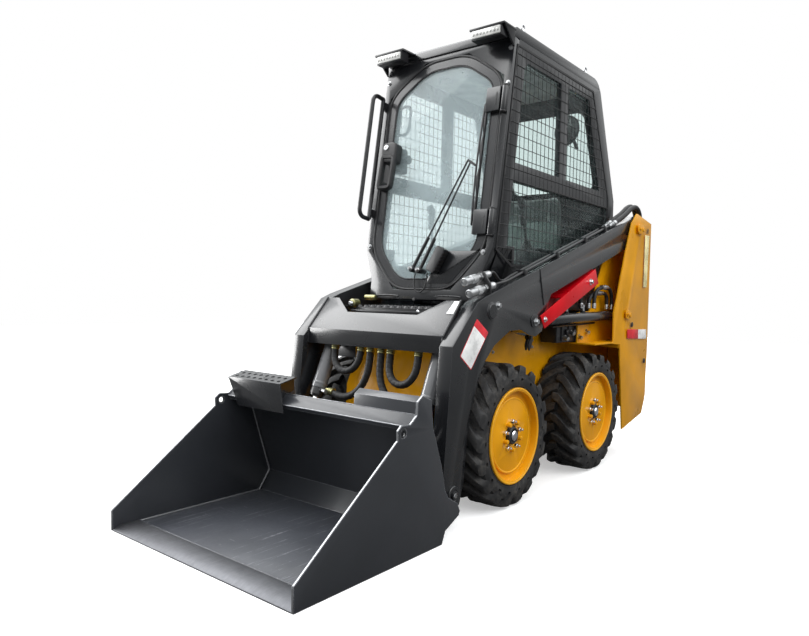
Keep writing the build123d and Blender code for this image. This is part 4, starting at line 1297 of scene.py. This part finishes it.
def paddedPiece(name, shape, node, seams):
    # merged and remeshed, then swelled as cloth with a cap on how far, then sewn and refined
    piece = makePiece(name, shape, "seatVinyl", "chassis", 0, node=node)
    addModifier(piece, "merge", "WELD", merge_threshold=padLook["weld"])
    addModifier(piece, "remesh", "REMESH", mode="VOXEL", voxel_size=padLook["voxel"])
    applyModifiers(piece)
    rest = pointsOf(piece.data)
    move = swellAsCloth(piece) - rest
    length = np.linalg.norm(move, axis=1, keepdims=True)
    move *= np.minimum(1, padLook["cap"] / np.maximum(length, 1e-9))
    place = seams(rest + move)
    piece.data.vertices.foreach_set("co", place.astype(np.float32).ravel())
    piece.data.update()
    addModifier(piece, "finer", "SUBSURF", levels=1, render_levels=1)
    applyModifiers(piece)
    piece.data.polygons.foreach_set("use_smooth", np.ones(len(piece.data.polygons), bool))


def grooves(values, spots, width, depth):
    # a sum of narrow bell-shaped notches
    out = np.zeros_like(values)
    for spot in spots:
        out += depth * np.exp(-((values - spot) / width) ** 2)
    return out


def cushionSeams(place):
    # a seam inside each bolster and three across the middle, sunk into the top
    across, along = place[:, 0], place[:, 1] - axle.y
    up = np.clip((place[:, 2] - 0.955) / 0.03, 0, 1)
    inner = np.abs(across) < 0.125
    place[:, 2] -= up * (grooves(np.abs(across), [0.128], 0.0045, 0.007)
                         + inner * grooves(along, [0.56, 0.66, 0.76], 0.005, 0.0045))
    return place


def backSeams(place):
    # the same on the back's front face
    across, up = np.abs(place[:, 0]), place[:, 2]
    ahead = np.clip((0.895 - (place[:, 1] - axle.y)) / 0.02, 0, 1)
    inner = across < 0.115
    place[:, 1] += ahead * (grooves(across, [0.118], 0.0045, 0.006)
                            + inner * grooves(up, [1.13, 1.21, 1.29], 0.005, 0.004))
    return place


def buildSeat():
    # the cushion drops towards its front; the back narrows upwards and leans
    s = padLook["shrink"]
    points, rise, middle, half, faces = padBlock((-0.215 + s, 0.45 + s, 0.912 + s),
                                                 (0.215 - s, 0.872 - s, 1.008 - s),
                                                 0.042, 0.02, 0.01)
    top = np.clip(points[:, 2] / half[2], 0, 1)
    points[:, 2] += rise * top - 0.01 * top
    front = np.clip((-points[:, 1] / half[1] - 0.6) / 0.4, 0, 1)
    points[:, 2] -= 0.022 * front ** 2 * top
    paddedPiece("seat_cushion_pad", (points + middle, faces), "seat_cushion",
                cushionSeams)

    points, rise, middle, half, faces = padBlock((-0.205 + s, 1.026 + s, -0.034 + s * 0.5),
                                                 (0.205 - s, 1.418 - s, 0.036 - s * 0.5),
                                                 0.034, 0.018, 0.008)
    face = np.clip(points[:, 2] / half[2], 0, 1)
    points[:, 0] *= 1 - 0.16 * np.clip(points[:, 1] / half[1], 0, 1) ** 2
    points[:, 2] += rise * face - 0.006 * face
    local, lean = points + middle, 0.1
    back = np.stack([local[:, 0], 0.9 + lean * (local[:, 1] - 1.22) - local[:, 2],
                     local[:, 1]], -1)
    paddedPiece("seat_back_pad", (back, [f[:, ::-1] for f in faces]), "seat_back",
                backSeams)


def buildWrap():
    # a crinkled clear wrapper drawn over the seat's lower back: a thin rounded pad whose
    # surface is moved out by folded waves
    points, _, middle, _, faces = padBlock((-0.196, 0.8, 1.018), (0.196, 0.862, 1.262),
                                           0.03, 0.0, 0.0)
    random = np.random.default_rng(4)
    fold = np.zeros(len(points))
    for _ in range(9):
        direction = unit(random.normal(size=3)) * random.uniform(38, 120)
        fold += (1 - np.abs(np.sin(points @ direction + random.uniform(0, 6)))) ** 3
    out = points / np.maximum(np.linalg.norm(points, axis=1, keepdims=True), 1e-6)
    wrap = makePiece("seat_wrap", (points + out * (0.0016 * fold)[:, None] + middle, faces),
                     "seatWrap", "chassis", 60)


def gripShape():
    # an oval section along a curve, thick at the heel and the thumb: wide(i) is its half
    # width, and it is 0.82 of that the other way
    count, steps = 26, 18
    path, normal, binormal = pathFrames(smoothPath(
        [(0.262, 0.352, 1.19), (0.26, 0.345, 1.225), (0.258, 0.346, 1.262),
         (0.257, 0.338, 1.29), (0.256, 0.318, 1.303)], count))
    wide = np.interp(np.linspace(0, 1, count), [0, 0.06, 0.2, 0.45, 0.7, 0.9, 1.0],
                     [0.01, 0.02, 0.0185, 0.0165, 0.0205, 0.0195, 0.011])[:, None, None]
    c, s = (wave(around(steps))[None, :, None] for wave in (np.cos, np.sin))
    return skinned(path[:, None] + normal[:, None] * (c * 0.82) * wide
                   + binormal[:, None] * s * wide)


def buildControls():
    # arm rest pods with boots, and curved grips with a trigger
    boot = [(0, 0.036)]
    for k in range(5):
        boot += [(0.006 + k * 0.01, 0.034 - k * 0.0045),
                 (0.011 + k * 0.01, 0.029 - k * 0.0045)]
    pods = [roundedBox((0.228, 0.33, 0.812), (0.312, 0.8, 1.074), 0.01, 0.02),
            roundedBox((0.224, 0.44, 1.068), (0.312, 0.795, 1.092), 0.01, 0.018),
            lathe(boot, (0.268, 0.382, 1.072), (0, -0.2, 1), 24),
            tube([(0.268, 0.376, 1.09), (0.266, 0.362, 1.15), (0.262, 0.352, 1.205)],
                 0.0075, 14, 10),
            gripShape(),
            roundedBox((0.252, 0.318, 1.232), (0.264, 0.334, 1.262), 0.003, 0.004)]
    makePiece("control_pods", pods, "blackPlastic", "chassis", 50, both=True,
              node="cab_controls")


def buildFittings():
    # what hangs inside: a round fan on the left rear post, a box and a hand loop on the
    # right front post, a wiring harness down the door's hinge side, and the roof's lining
    loop = frontOutline([(-0.308, 1.635), (-0.238, 1.635), (-0.238, 1.775), (-0.308, 1.775)],
                        0.035, 8)
    inside = [lathe([(-0.02, 0.02), (0.0, 0.055), (0.01, 0.076), (0.02, 0.078),
                     (0.026, 0.074), (0.026, 0.066), (0.014, 0.03), (0.012, 0.004)],
                    (0.236, 0.85, 1.725), (-0.25, -1, 0.05), 40),
              tube([(0.262, 0.9, 1.64), (0.25, 0.885, 1.68), (0.238, 0.868, 1.715)],
                   0.009, 10, 8),
              roundedBox((-0.318, 0.06, 1.44), (-0.262, 0.15, 1.56), 0.01, 0.016),
              lathe([(0, 0.018), (0.02, 0.016), (0.03, 0.022), (0.04, 0.02)],
                    (-0.262, 0.105, 1.5), alongX, 20),
              frontShape(roundRing(loop, 0, -0.075, 0.007, 10))]
    makePiece("cab_fittings", inside, "blackPlastic", "chassis", 50)
    t, strands = np.linspace(0, 1, 60), []
    z = 1.16 + t * 0.56
    for k in range(3):
        a = t * 26 + k * 2 * math.pi / 3
        strand = np.stack([0.257 + 0.014 * np.sin(t * 5) + 0.0045 * np.cos(a),
                           frontStation(z) + 0.034 + 0.0045 * np.sin(a), z], -1)
        strands.append(roundBar(strand, 0.003, 7))
    makePiece("door_harness", strands, "hoseRubber", "cab_door", 60)
    lining = roundedBox((-0.3, 0.12, 1.932), (0.3, 0.93, 1.946), 0.004, 0.03)
    makePiece("cab_lining", lining, "headliner", "chassis")


buildSeat()
buildWrap()
buildControls()
buildFittings()
print("cab interior done")


armX, bucketPin = (0.36, 0.42), (-0.4, 0.13)
armSlope = (1.215 - 0.987) / (0.973 - 0.237)
couplerLook = {"starts": ((0.398, -0.297, 0.864), (0.372, -0.292, 0.908)),
               "rise": 41 / 190, "pipe": 0.0062}
# each pair of cylinders: the base and the rod's eye as (station, z), the barrel's length and
# radius, the rod's radius, and its ports as (distance from the base, direction)
cylinders = {
    "lift": {"x": 0.39, "base": (1.225, 0.777), "eye": (0.19, 0.754), "barrel": 0.865,
             "radius": 0.025, "rod": 0.015, "ports": [(0.665, alongZ), (0.477, alongZ)]},
    "tilt": {"x": 0.29, "base": (-0.2605, 0.765), "eye": (-0.474, 0.27), "barrel": 0.38,
             "radius": 0.027, "rod": 0.013,
             "ports": [(0.352, (-1, -0.25, 0)), (0.045, (-1, -0.25, 0))]}}


def atX(x, places):
    # (y, z) places on an upright plane
    return np.column_stack([np.full(len(places), x), places])


def armEdge(s):
    # the height of the arm's upper edge at a station
    return 0.987 + armSlope * (s - 0.237)


def couplerSleeve(start, along):
    # a stepped sleeve with a ribbed collar, a hexagon, and a second collar behind it
    body = [(0.002, 0.007), (0.004, 0.0125), (0.0, 0.014), (0.002, 0.016),
            (0.012, 0.0168), (0.038, 0.0168), (0.04, 0.0148), (0.047, 0.0148),
            (0.049, 0.0172), (0.082, 0.0172), (0.085, 0.016), (0.086, 0.0125),
            (0.104, 0.0125), (0.106, 0.01), (0.15, 0.01)]
    collar = [(0, 0.0105), (0.002, 0.0155), (0.016, 0.0155), (0.018, 0.0135),
              (0.022, 0.0135), (0.024, 0.015), (0.038, 0.015), (0.042, 0.009),
              (0.052, 0.007)]
    across, ribs = axesAlong(along), 24
    shapes = [lathe(body, start, along, 28),
              lathe([(0, 0.0165), (0.015, 0.0165)], start + along * 0.106, along, 6),
              lathe(collar, start + along * 0.138, along)]
    for k in range(ribs):
        a = k * 2 * math.pi / ribs
        at = start + along * 0.0505 + (across[:, 0] * math.cos(a)
                                       + across[:, 1] * math.sin(a)) * 0.0169
        shapes.append(lathe([(0, 0.0011), (0.03, 0.0011)], at, along, 4))
    return shapes


def quickCouplers():
    # two sleeves on a strap, with clipped pipes that run back along the arm's upper edge
    silver, dark = [], []
    along, pipe = unit((0, 1, couplerLook["rise"])), couplerLook["pipe"]
    for start in np.array(couplerLook["starts"]):
        silver += couplerSleeve(start, along)
        end = start + along * 0.186
        edge = lambda s: np.array([start[0], s, armEdge(s) + 0.0145])
        dark += [tube([end, end + along * 0.03, edge(-0.02), edge(0.06)], pipe, 30),
                 tube([edge(0.05), edge(0.6), edge(1.03)], pipe, 30)]
        behind = edge(1.022), (0, 1, armSlope)
        silver += [lathe([(0, 0.0105), (0.016, 0.0105)], *behind, 6),
                   lathe([(0.016, 0.0085), (0.04, 0.0085), (0.042, 0.012), (0.056, 0.012)],
                         *behind, 16)]
    for s in (0.12, 0.42, 0.72, 0.96):
        z = armEdge(s)
        dark.append(roundedBox((0.362, s - 0.01, z - 0.004), (0.412, s + 0.01, z + 0.0235),
                               0.002, 0.004))
    strap = roundOutline([(0.356, 0.862), (0.42, 0.862), (0.42, 0.905), (0.398, 0.934),
                          (0.39, 0.952), (0.356, 0.952)], 0.01)
    dark.append(plateY(strap, -0.178, -0.17))
    makePiece("aux_couplers", silver, "zincPlate", "lift_arm", 40, node="aux_lines")
    makePiece("aux_pipes", dark, "blackPaint", "lift_arm", 45)


def armHoses():
    # from the pipes' ends, over the arm's top, down to the pivot between the tail plates
    for side, sign in sides:
        for k, (x0, x1, lift) in enumerate(((0.398, 0.404, 0.0), (0.372, 0.38, 0.005))):
            points = [(x0, 1.082, 1.262), (x0, 1.15, 1.288 + lift),
                      (x1, 1.24, 1.328 + lift), (x1, 1.322, 1.374 + lift),
                      (x1, 1.396, 1.39 + lift), (x1, 1.45, 1.364 + lift),
                      (x1, 1.466, 1.318), (x1, 1.45, 1.288)]
            if side == "right":
                points = points[1:]
            looseHose(f"pivot_hose_{side}_{k + 1}", [(sign * x, y, z) for x, y, z in points],
                      0.0135, "lift_arm")


def armWelds():
    # wavy beads: up the arm's inner front edges, and a seam down its outer side
    low, high = np.array([-0.4005, 0.7065]), np.array([-0.286, 0.8385])
    inner, t = armX[0] - 0.003, np.linspace(0, 1, 34)
    wave = 0.0006 * np.sin(t * 95)
    slanted = low + (high - low) * t[:, None] + wave[:, None]
    upright = np.stack([-0.4005 - wave, 0.645 + 0.06 * t], -1)
    z = np.linspace(0.982, 0.825, 30)
    seam = np.stack([0.222 + (0.984 - z) * 0.3 + 0.0008 * np.sin(z * 900), z], -1)
    makePiece("arm_welds", [roundBar(atX(inner, slanted), 0.0042, 8),
                            roundBar(atX(inner, upright), 0.0042, 8),
                            roundBar(atX(armX[1] + 0.0002, seam), 0.0028, 8)],
              "charcoalPaint", "lift_arm", 60, both=True)


def armTrim():
    # bolts, bosses round the pins, and an ear plate under the lift cylinder's eye
    outer = armX[1]
    plated = [hexBolt((outer, -0.12, 0.822), alongX, 0.019, 0.011),
              hexBolt((outer + 0.005, 0.19, 0.754), alongX, 0.021, 0.012),
              hexBolt((outer, *bucketPin), alongX, 0.019, 0.011)]
    ear = roundOutline([(0.225, 0.728), (0.16, 0.73), (0.148, 0.772), (0.186, 0.79),
                        (0.232, 0.772)], 0.018, 6)
    black = [lathe([(0.004, 0.03), (0.006, 0.03), (0.0085, 0.0275), (0.009, 0.006)],
                   (outer, -0.165, 0.8), alongX, 44),
             lathe([(0, 0.034), (0.004, 0.034), (0.006, 0.032), (0.006, 0.024),
                    (0.003, 0.022)], (outer, *bucketPin), alongX, 36),
             plateX(ear, outer, outer + 0.005)]
    makePiece("arm_bolts", plated, "zincPlate", "lift_arm", both=True)
    makePiece("arm_bosses", black, "charcoalPaint", "lift_arm", both=True)


def strutTrim():
    # the red strut's pin and its two bolts
    plated = [hexBolt((0.431, 0.737, 0.943), alongX, 0.019, 0.012),
              hexBolt((0.431, 0.262, 0.764), alongX, 0.015, 0.008),
              lathe([(0, 0.008), (0.085, 0.008)], (0.348, 0.737, 0.943), alongX, 16)]
    makePiece("strut_pin", plated, "chrome", "lift_arm")


def blankPanels():
    # the sticker places, left blank: a red-edged white panel, and a plain white plate on
    # the arm's sloping front
    outer = armX[1]
    blank = np.array([(-0.27, 0.772), (-0.186, 0.718), (-0.303, 0.58), (-0.378, 0.636)])
    down = unit(blank[2] - blank[1]) * 0.03
    head = blank + [down, down, 0 * down, 0 * down]
    red = plateX(roundOutline(blank, 0.005, 3), outer, outer + 0.0005, 0.0002)
    white = plateX(roundOutline(insetOutline(head, 0.0045), 0.003, 3), outer + 0.0005,
                   outer + 0.0009, 0.0002)
    makePiece("blank_panel_edge", red, "decalRed", "lift_arm")
    makePiece("blank_panel", white, "decalWhite", "lift_arm")
    plane = unit((0, -0.754, 0.657))
    small = roundOutline([(0.322, 0.006), (0.359, 0.006), (0.359, 0.07), (0.33, 0.07)],
                         0.003, 3)
    turn = np.stack([alongX, (0, 0.657, 0.754), plane], -1)
    origin = np.array([0, -0.3345, 0.7815]) + plane * 0.0018
    makePiece("blank_plate", moveShape(plate(small, 0.0006, 0.0002), origin, turn),
              "decalWhite", "lift_arm")


def cylinderLine(look):
    # the point at the base, and the direction from there to the rod's eye
    base, eye = np.array(look["base"]), np.array(look["eye"])
    return np.array([look["x"], *base]), np.array([0, *unit(eye - base)])


def cylinderTrim(name):
    # a gland nut with a wiper at the barrel's mouth, a base weld, and port fittings
    look = cylinders[name]
    start, axis = cylinderLine(look)
    barrel, radius, rod = look["barrel"], look["radius"], look["rod"]
    gland = [(barrel - 0.034, radius + 0.0004), (barrel - 0.032, radius + 0.0028),
             (barrel - 0.006, radius + 0.0028), (barrel - 0.004, radius * 0.86),
             (barrel + 0.002, radius * 0.8), (barrel + 0.003, rod + 0.0016),
             (barrel - 0.006, rod + 0.0016), (barrel - 0.034, radius - 0.003)]
    weld = [(0.052, radius), (0.056, radius + 0.0024), (0.06, radius),
            (0.06, radius - 0.002), (0.052, radius - 0.002)]
    black = [ringLathe(gland, start, axis, 36), ringLathe(weld, start, axis, 36)]
    plated = []
    for at, way in look["ports"]:
        spot = start + axis * at + unit(way) * (radius - 0.003)
        black.append(lathe([(0, 0.0125), (0.01, 0.0125), (0.012, 0.0105)], spot, way, 20))
        plated += [lathe([(0.011, 0.0095), (0.018, 0.0095)], spot, way, 6),
                   lathe([(0.018, 0.008), (0.03, 0.008), (0.031, 0.01),
                          (0.041, 0.01)], spot, way, 16)]
    makePiece(name + "_glands", black, "blackPaint", name + "_barrels", both=True)
    makePiece(name + "_ports", plated, "zincPlate", name + "_barrels", both=True)


def tiltSleeves():
    # the thick painted tube of each tilt barrel, with a step down and a ring at either end, in
    # a paler grey than the arms that is a painted reflection
    start, axis = cylinderLine(cylinders["tilt"])
    sleeve = [(0.048, 0.0272), (0.052, 0.0315), (0.338, 0.0315), (0.344, 0.0302),
              (0.346, 0.0272), (0.346, 0.0262), (0.048, 0.0262)]
    rings = [[(at, 0.0317), (at + 0.003, 0.033), (at + 0.01, 0.033), (at + 0.013, 0.0317)]
             for at in (0.06, 0.318)]
    makePiece("tilt_sleeves", [ringLathe(p, start, axis, 40) for p in (sleeve, *rings)],
              "cylinderPaint", "tilt_barrels", 40, both=True)


def liftHoses():
    # hose loops that stand on the lift barrels' ports, behind the strut
    for side, sign in sides:
        points = [(0.386, 0.56, 0.808), (0.383, 0.56, 0.855), (0.38, 0.58, 0.905),
                  (0.378, 0.64, 0.925), (0.376, 0.71, 0.915), (0.376, 0.745, 0.862),
                  (0.382, 0.748, 0.812)]
        looseHose(f"lift_hose_{side}", [(sign * x, y, z) for x, y, z in points], 0.0105,
                  "lift_barrels")


def liftPortHoses():
    # from each lift barrel's rear port over a screwed union and back down to a clip
    union = [(0, 0.0125), (0.012, 0.0125), (0.013, 0.0108), (0.036, 0.0108),
             (0.037, 0.0132), (0.053, 0.0132), (0.054, 0.0108), (0.08, 0.0108)]
    for side, sign in sides:
        for k, (x, drop) in enumerate(((0.394, 0.0), (0.378, 0.03))):
            points = [(1.105, 0.806), (1.112, 0.858), (1.09, 0.905 - drop * 0.6),
                      (1.05, 0.922 - drop), (0.955, 0.92 - drop), (0.9, 0.905 - drop),
                      (0.872, 0.862 - drop * 0.5), (0.874, 0.812)]
            looseHose(f"port_hose_{side}_{k + 1}",
                      [(sign * x, y - drop, z) for y, z in points], 0.0095, "lift_barrels")
            at = (sign * x, 0.962 - drop, 0.9215 - drop)
            makePiece(f"port_union_{side}_{k + 1}", lathe(union, at, (0, 1, 0.01), 16),
                      "zincPlate", "lift_barrels", 40)


quickCouplers()
armHoses()
armWelds()
armTrim()
strutTrim()
blankPanels()
cylinderTrim("lift")
cylinderTrim("tilt")
tiltSleeves()
liftHoses()
liftPortHoses()
print("arms and cylinders done")


stepLook = {"half": 0.203, "front": -0.268, "top": 0.8005, "rows": 4, "columns": 11}
bucketX = 0.471


def frontStep():
    # a folded tread: flat top, front and side skirts, and rows of punched rims in it
    look = stepLook
    front, half, top = look["front"], look["half"], look["top"]
    rim = ringLathe([(0, 0.013), (0.007, 0.0098), (0.0085, 0.0086), (0.0075, 0.0072),
                     (0, 0.0066)], (0, 0, top), alongZ, 12)
    x, y = (grid.ravel() for grid in np.meshgrid(
        np.linspace(-half + 0.02, half - 0.02, look["columns"]),
        np.linspace(front + 0.016, -0.112, look["rows"])))
    shifted = x + 0.008 * (np.arange(x.size) // look["columns"] % 2 * 2 - 1)
    shapes = [roundedBox((-half, front, 0.7965), (half, -0.092, 0.801), 0.0012, 0.004),
              roundedBox((-half, front, 0.74), (half, front + 0.005, top), 0.0012),
              roundedBox((-half, -0.3, 0.779), (half, front + 0.004, 0.789), 0.0015),
              roundedBox((half - 0.005, front, 0.76), (half, -0.1, top), 0.0012),
              roundedBox((-half, front, 0.76), (-half + 0.005, -0.1, top), 0.0012),
              copiesAt(rim, np.stack([shifted, y, 0 * x], -1))]
    makePiece("front_step_tread", shapes, "blackPaint", "chassis", node="front_step")
    ahead = (0, -1, 0)
    bolts = [lathe([(0, 0.0095), (0.004, 0.0095), (0.0075, 0.006), (0.008, 0.002)],
                   (0.139, front, 0.787), ahead, 20),
             hexBolt((-0.222, front - 0.01, 0.815), ahead, 0.015)]
    makePiece("step_bolts", bolts, "chrome", "chassis")
    bosses = [lathe([(-0.03, 0.019), (0.004, 0.019), (0.008, 0.0155), (0.01, 0.01)],
                    (-0.222, front, 0.815), ahead),
              lathe([(0, 0.012), (0.055, 0.012), (0.058, 0.009)], (-0.206, -0.2, 0.842),
                    alongX, 18)]
    makePiece("step_bosses", bosses, "goldZinc", "chassis")


def bucketEdges():
    # pale metal along the rims as a painted highlight and reflection: a flat ribbon on each
    # side plate's edge, and a round bead on the tray's two long edges
    rim = np.array([(-1.2165, 0.0745), (-0.792, 0.3975), (-0.7935, 0.4275),
                    (-0.7755, 0.4425), (-0.73, 0.4405), (-0.6955, 0.4655),
                    (-0.6945, 0.5085), (-0.668, 0.5265), (-0.621, 0.5085)])
    share = np.linspace(0.003, 0.997, 8)[:, None]
    lines = [a + (b - a) * share for a, b in zip(rim[:-1], rim[1:])]
    lines.append(np.linspace((-1.2172, 0.002), (-1.2182, 0.072), 4))
    section = [(-0.0026, -0.0006), (0.0026, -0.0006), (0.0026, 0.0008), (-0.0026, 0.0008)]
    ribbon = joinShapes(*(sweep(atX(bucketX, line), section) for line in lines))
    long = [roundBar(np.linspace((-0.466, y, z), (0.466, y, z), 40), r, 8)
            for y, z, r in ((-0.7335, 0.4325, 0.002), (-0.6955, 0.468, 0.0016))]
    makePiece("bucket_edge_highlights", [ribbon, mirrorShape(ribbon), *long], "rubbedEdge",
              "bucket")


def bucketBeads():
    # weld beads: round the inside of each side plate, in a paler grey that is a painted
    # highlight, and along the cutting edge
    seam = np.array([(-1.112, 0.011), (-0.566, 0.011), (-0.5125, 0.088),
                     (-0.618, 0.396), (-0.64, 0.4015), (-0.722, 0.416)])
    beads = []
    for a, b in zip(seam[:-1], seam[1:]):
        count = max(6, int(np.linalg.norm(b - a) / 0.006))
        wave = 0.0007 * np.sin(np.arange(count) * 2.1)
        line = a + (b - a) * np.linspace(0, 1, count)[:, None]
        beads.append(roundBar(np.column_stack([0.4655 + wave, line]), 0.0036, 7))
    makePiece("bucket_beads", beads, "cylinderPaint", "bucket", 60, both=True)
    x = np.linspace(-0.464, 0.464, 150)
    edge = np.stack([x, -1.1165 + 0.0006 * np.sin(x * 900), 0 * x + 0.0125], -1)
    makePiece("edge_bead", roundBar(edge, 0.0042, 8), "bucketPaint", "bucket", 60)


def valveBlock():
    # a ribbed valve block behind the lift barrel, with its unions and pipe, and a mud flap
    silver = []
    for k, y in enumerate((0.66, 0.725, 0.82, 0.905)):
        at = np.array([0.334, y, 0.668 + 0.024 * (k % 2)])
        silver += [lathe([(0, 0.012), (0.01, 0.012)], at, alongX, 6),
                   lathe([(0.01, 0.009), (0.02, 0.009), (0.021, 0.0105), (0.03, 0.0105),
                          (0.031, 0.008)], at, (1, -0.25, -0.3), 16)]
    makePiece("valve_fittings", silver, "zincPlate", "chassis")
    flap = roundOutline([(-0.412, 0.566), (-0.227, 0.566), (-0.227, 0.735), (-0.351, 0.735),
                         (-0.351, 0.618), (-0.412, 0.618)], 0.01, 5)
    dark = [roundedBox((0.24, 0.6, 0.64), (0.326, 1.08, 0.728), 0.004, 0.008),
            *(roundedBox((0.236, y, 0.646), (0.334, y + 0.014, 0.736), 0.003)
              for y in np.linspace(0.64, 1.03, 6)),
            *(lathe([(0, 0.016), (0.012, 0.016), (0.015, 0.012)], (0.326, y, 0.69), alongX,
                    20) for y in (0.7, 0.78, 0.86, 0.94)),
            tube([(0.34, 0.52, 0.722), (0.344, 0.64, 0.726), (0.346, 0.86, 0.73),
                  (0.34, 1.01, 0.734), (0.3, 1.06, 0.73)], 0.0055, 40, 8),
            plateY(flap, -0.168, -0.16, 0.002)]
    makePiece("chassis_fittings", dark, "blackPaint", "chassis")


def chassisHooks():
    # the arm stops' double hooks by the front wheels, and bolt heads on the chassis sides
    hook = roundOutline([(0.318, 0.706), (0.372, 0.706), (0.364, 0.668), (0.35, 0.628),
                         (0.334, 0.612), (0.322, 0.64), (0.336, 0.664), (0.33, 0.69)],
                        0.008, 4)
    hanger = [plateX(hook, 0.3, 0.306, 0.0012), plateX(hook, 0.316, 0.322, 0.0012),
              roundedBox((0.225, 0.33, 0.696), (0.322, 0.366, 0.706), 0.0015),
              lathe([(0, 0.01), (0.032, 0.01)], (0.294, 0.347, 0.676), alongX, 16)]
    makePiece("arm_stop_hooks", hanger, "blackPaint", "chassis", both=True,
              node="arm_stops")
    heads = [hexBolt((0.225, *at), alongX, 0.010, 0.005) for at in (
        (0.537, 0.65), (0.639, 0.646), (0.539, 0.618), (0.173, 0.611), (0.44, 0.69))]
    makePiece("chassis_bolts", heads, "zincPlate", "chassis", both=True)


frontStep()
bucketEdges()
bucketBeads()
valveBlock()
chassisHooks()
print("front, bucket and chassis fittings done")


tailLook = {"outer": 0.445, "door": 1.583, "hood": 1.272}


def tailTrim():
    # keepers, caps and bolts on the pins, and plugs
    x = tailLook["outer"]
    plates = [plateX(rectangle(*box, radius, 7), x + near, x + near + 0.0055, 0.0012)
              for box, radius, near in (((1.306, 1.231, 1.4, 1.283), 0.026, 0.0055),
                                        ((1.168, 0.757, 1.246, 0.803), 0.023, 0.0035))]
    caps = [lathe([(0, 0.0135), (0.004, 0.0135), (0.006, 0.0115), (0.006, 0.003)],
                  (x + 0.01, *at), alongX) for at in ((1.382, 1.257), (1.225, 0.777))]
    bolts = [hexBolt((x + 0.01, *at), alongX, 0.014, 0.007)
             for at in ((1.333, 1.257), (1.189, 0.781))]
    makePiece("pin_keepers", plates + caps + bolts, "yellowPaint", "chassis", both=True)
    plugs = [lathe([(0, 0.0145), (0.002, 0.0145), (0.0035, 0.0115), (0.003, 0.004)],
                   (x, *at), alongX) for at in ((1.283, 0.723), (1.497, 0.51))]
    spin = around(24)
    oval = np.stack([1.488 + 0.0085 * np.cos(spin), 1.258 + 0.016 * np.sin(spin)], -1)
    plugs.append(plateX(oval, x, x + 0.0008, 0.0003))
    makePiece("tail_plugs", plugs, "blackPlastic", "chassis", both=True)


def tailStickers():
    # the two halves of a reflector, and a bare strip
    x = tailLook["outer"]
    for name, corners, thick, finish in (
            ("reflector_red", [(1.219, 0.648), (1.385, 0.642), (1.38, 0.695),
                               (1.215, 0.699)], 0.001, "decalRed"),
            ("reflector_white", [(1.386, 0.642), (1.518, 0.638), (1.512, 0.692),
                                 (1.381, 0.695)], 0.001, "decalWhite"),
            ("blank_strip", [(1.443, 0.935), (1.498, 0.936), (1.513, 1.234),
                             (1.446, 1.232)], 0.0006, "decalPale")):
        shape = plateX(roundOutline(corners, 0.003, 3), x, x + thick, thick * 0.4)
        makePiece(name, shape, finish, "chassis", both=True)


def rearDoorTrim():
    # the door's louvres in their frame, its latch and grip, and its lamps
    y, back = tailLook["door"], alongY
    slat = [(-0.008, -0.0105), (0.008, 0.0085), (0.0066, 0.0105), (-0.0094, -0.0085)]
    bar = [(0, y - 0.002), (0, y + 0.009), (0.018, y + 0.009), (0.018, y - 0.002)]
    shapes = [sweep(np.linspace((-0.215, y + 0.003, z), (0.215, y + 0.003, z), 3), slat)
              for z in np.linspace(0.66, 1.06, 15)]
    shapes += [moveShape(ringOf(rectangle(-0.24, 0.63, 0.24, 1.09, 0.02, 5), bar),
                         turn=[alongX, alongZ, alongY]),
               roundedBox((0.248, y, 0.96), (0.29, y + 0.012, 1.03), 0.003, 0.006),
               tube([(0.268, y, 0.78), (0.268, y + 0.03, 0.786), (0.268, y + 0.034, 0.85),
                     (0.268, y + 0.03, 0.914), (0.268, y, 0.92)], 0.0075, 40),
               *(lathe([(0, 0.015), (0.004, 0.015), (0.006, 0.012)], (0.268, y, z), back, 20)
                 for z in (0.78, 0.92))]
    makePiece("rear_door_louvres", shapes, "blackPaint", "rear_door")
    lock = lathe([(0, 0.011), (0.003, 0.011), (0.005, 0.009), (0.005, 0.003)],
                 (0.269, y + 0.012, 0.995), back, 20)
    makePiece("rear_door_lock", lock, "chrome", "rear_door")
    places = [(sign * 0.292, y, 0.56) for sign in (1, -1)]
    rim = [(0, 0.03), (0.01, 0.03), (0.012, 0.027), (0.01, 0.024), (0, 0.024)]
    lamp = [(0, 0.0238), (0.008, 0.0238), (0.011, 0.018), (0.012, 0.006)]
    makePiece("tail_lamp_rims", [ringLathe(rim, at, back, 36) for at in places],
              "blackPlastic", "rear_door")
    makePiece("tail_lamps", [lathe(lamp, at, back, 32) for at in places], "decalRed",
              "rear_door")


def hoodVents():
    # the hood's grip, and its row of slots as black bars of painted shade
    top = tailLook["hood"]
    bits = [roundedBox((-0.06, 1.508, top - 0.004), (0.06, 1.53, top + 0.006), 0.003,
                       0.006)]
    bits += [roundedBox((x, 1.3, top - 0.004), (x + 0.012, 1.44, top + 0.004), 0.0018,
                        0.004) for x in np.linspace(-0.16, 0.148, 12)]
    makePiece("hood_vents", bits, "blackPaint", "hood")


def liftingEyes():
    # a turned collar under a round ring with a shank, at each corner of the roof
    low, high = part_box("lifting_eyes")
    x, radius, spin = 0.3, 0.015, around(32)
    collar = [(0, radius), (0.004, radius), (0.006, 0.01), (0.01, 0.0065),
              (0.026, 0.006)]
    shapes = []
    for station in (0.227, 0.886):
        loop = np.stack([station + radius * np.cos(spin),
                         high[2] - 0.002 + radius * np.sin(spin)], -1)
        shapes += [roundBar(atX(x, loop), 0.0046, 10, closed=True),
                   lathe(collar, (x, station, low[2]), alongZ)]
    makePiece("eye_bolts", shapes, "chrome", "chassis", 50, both=True, node="lifting_eyes")


tailTrim()
tailStickers()
rearDoorTrim()
hoodVents()
liftingEyes()
print("tail and roof fittings done")
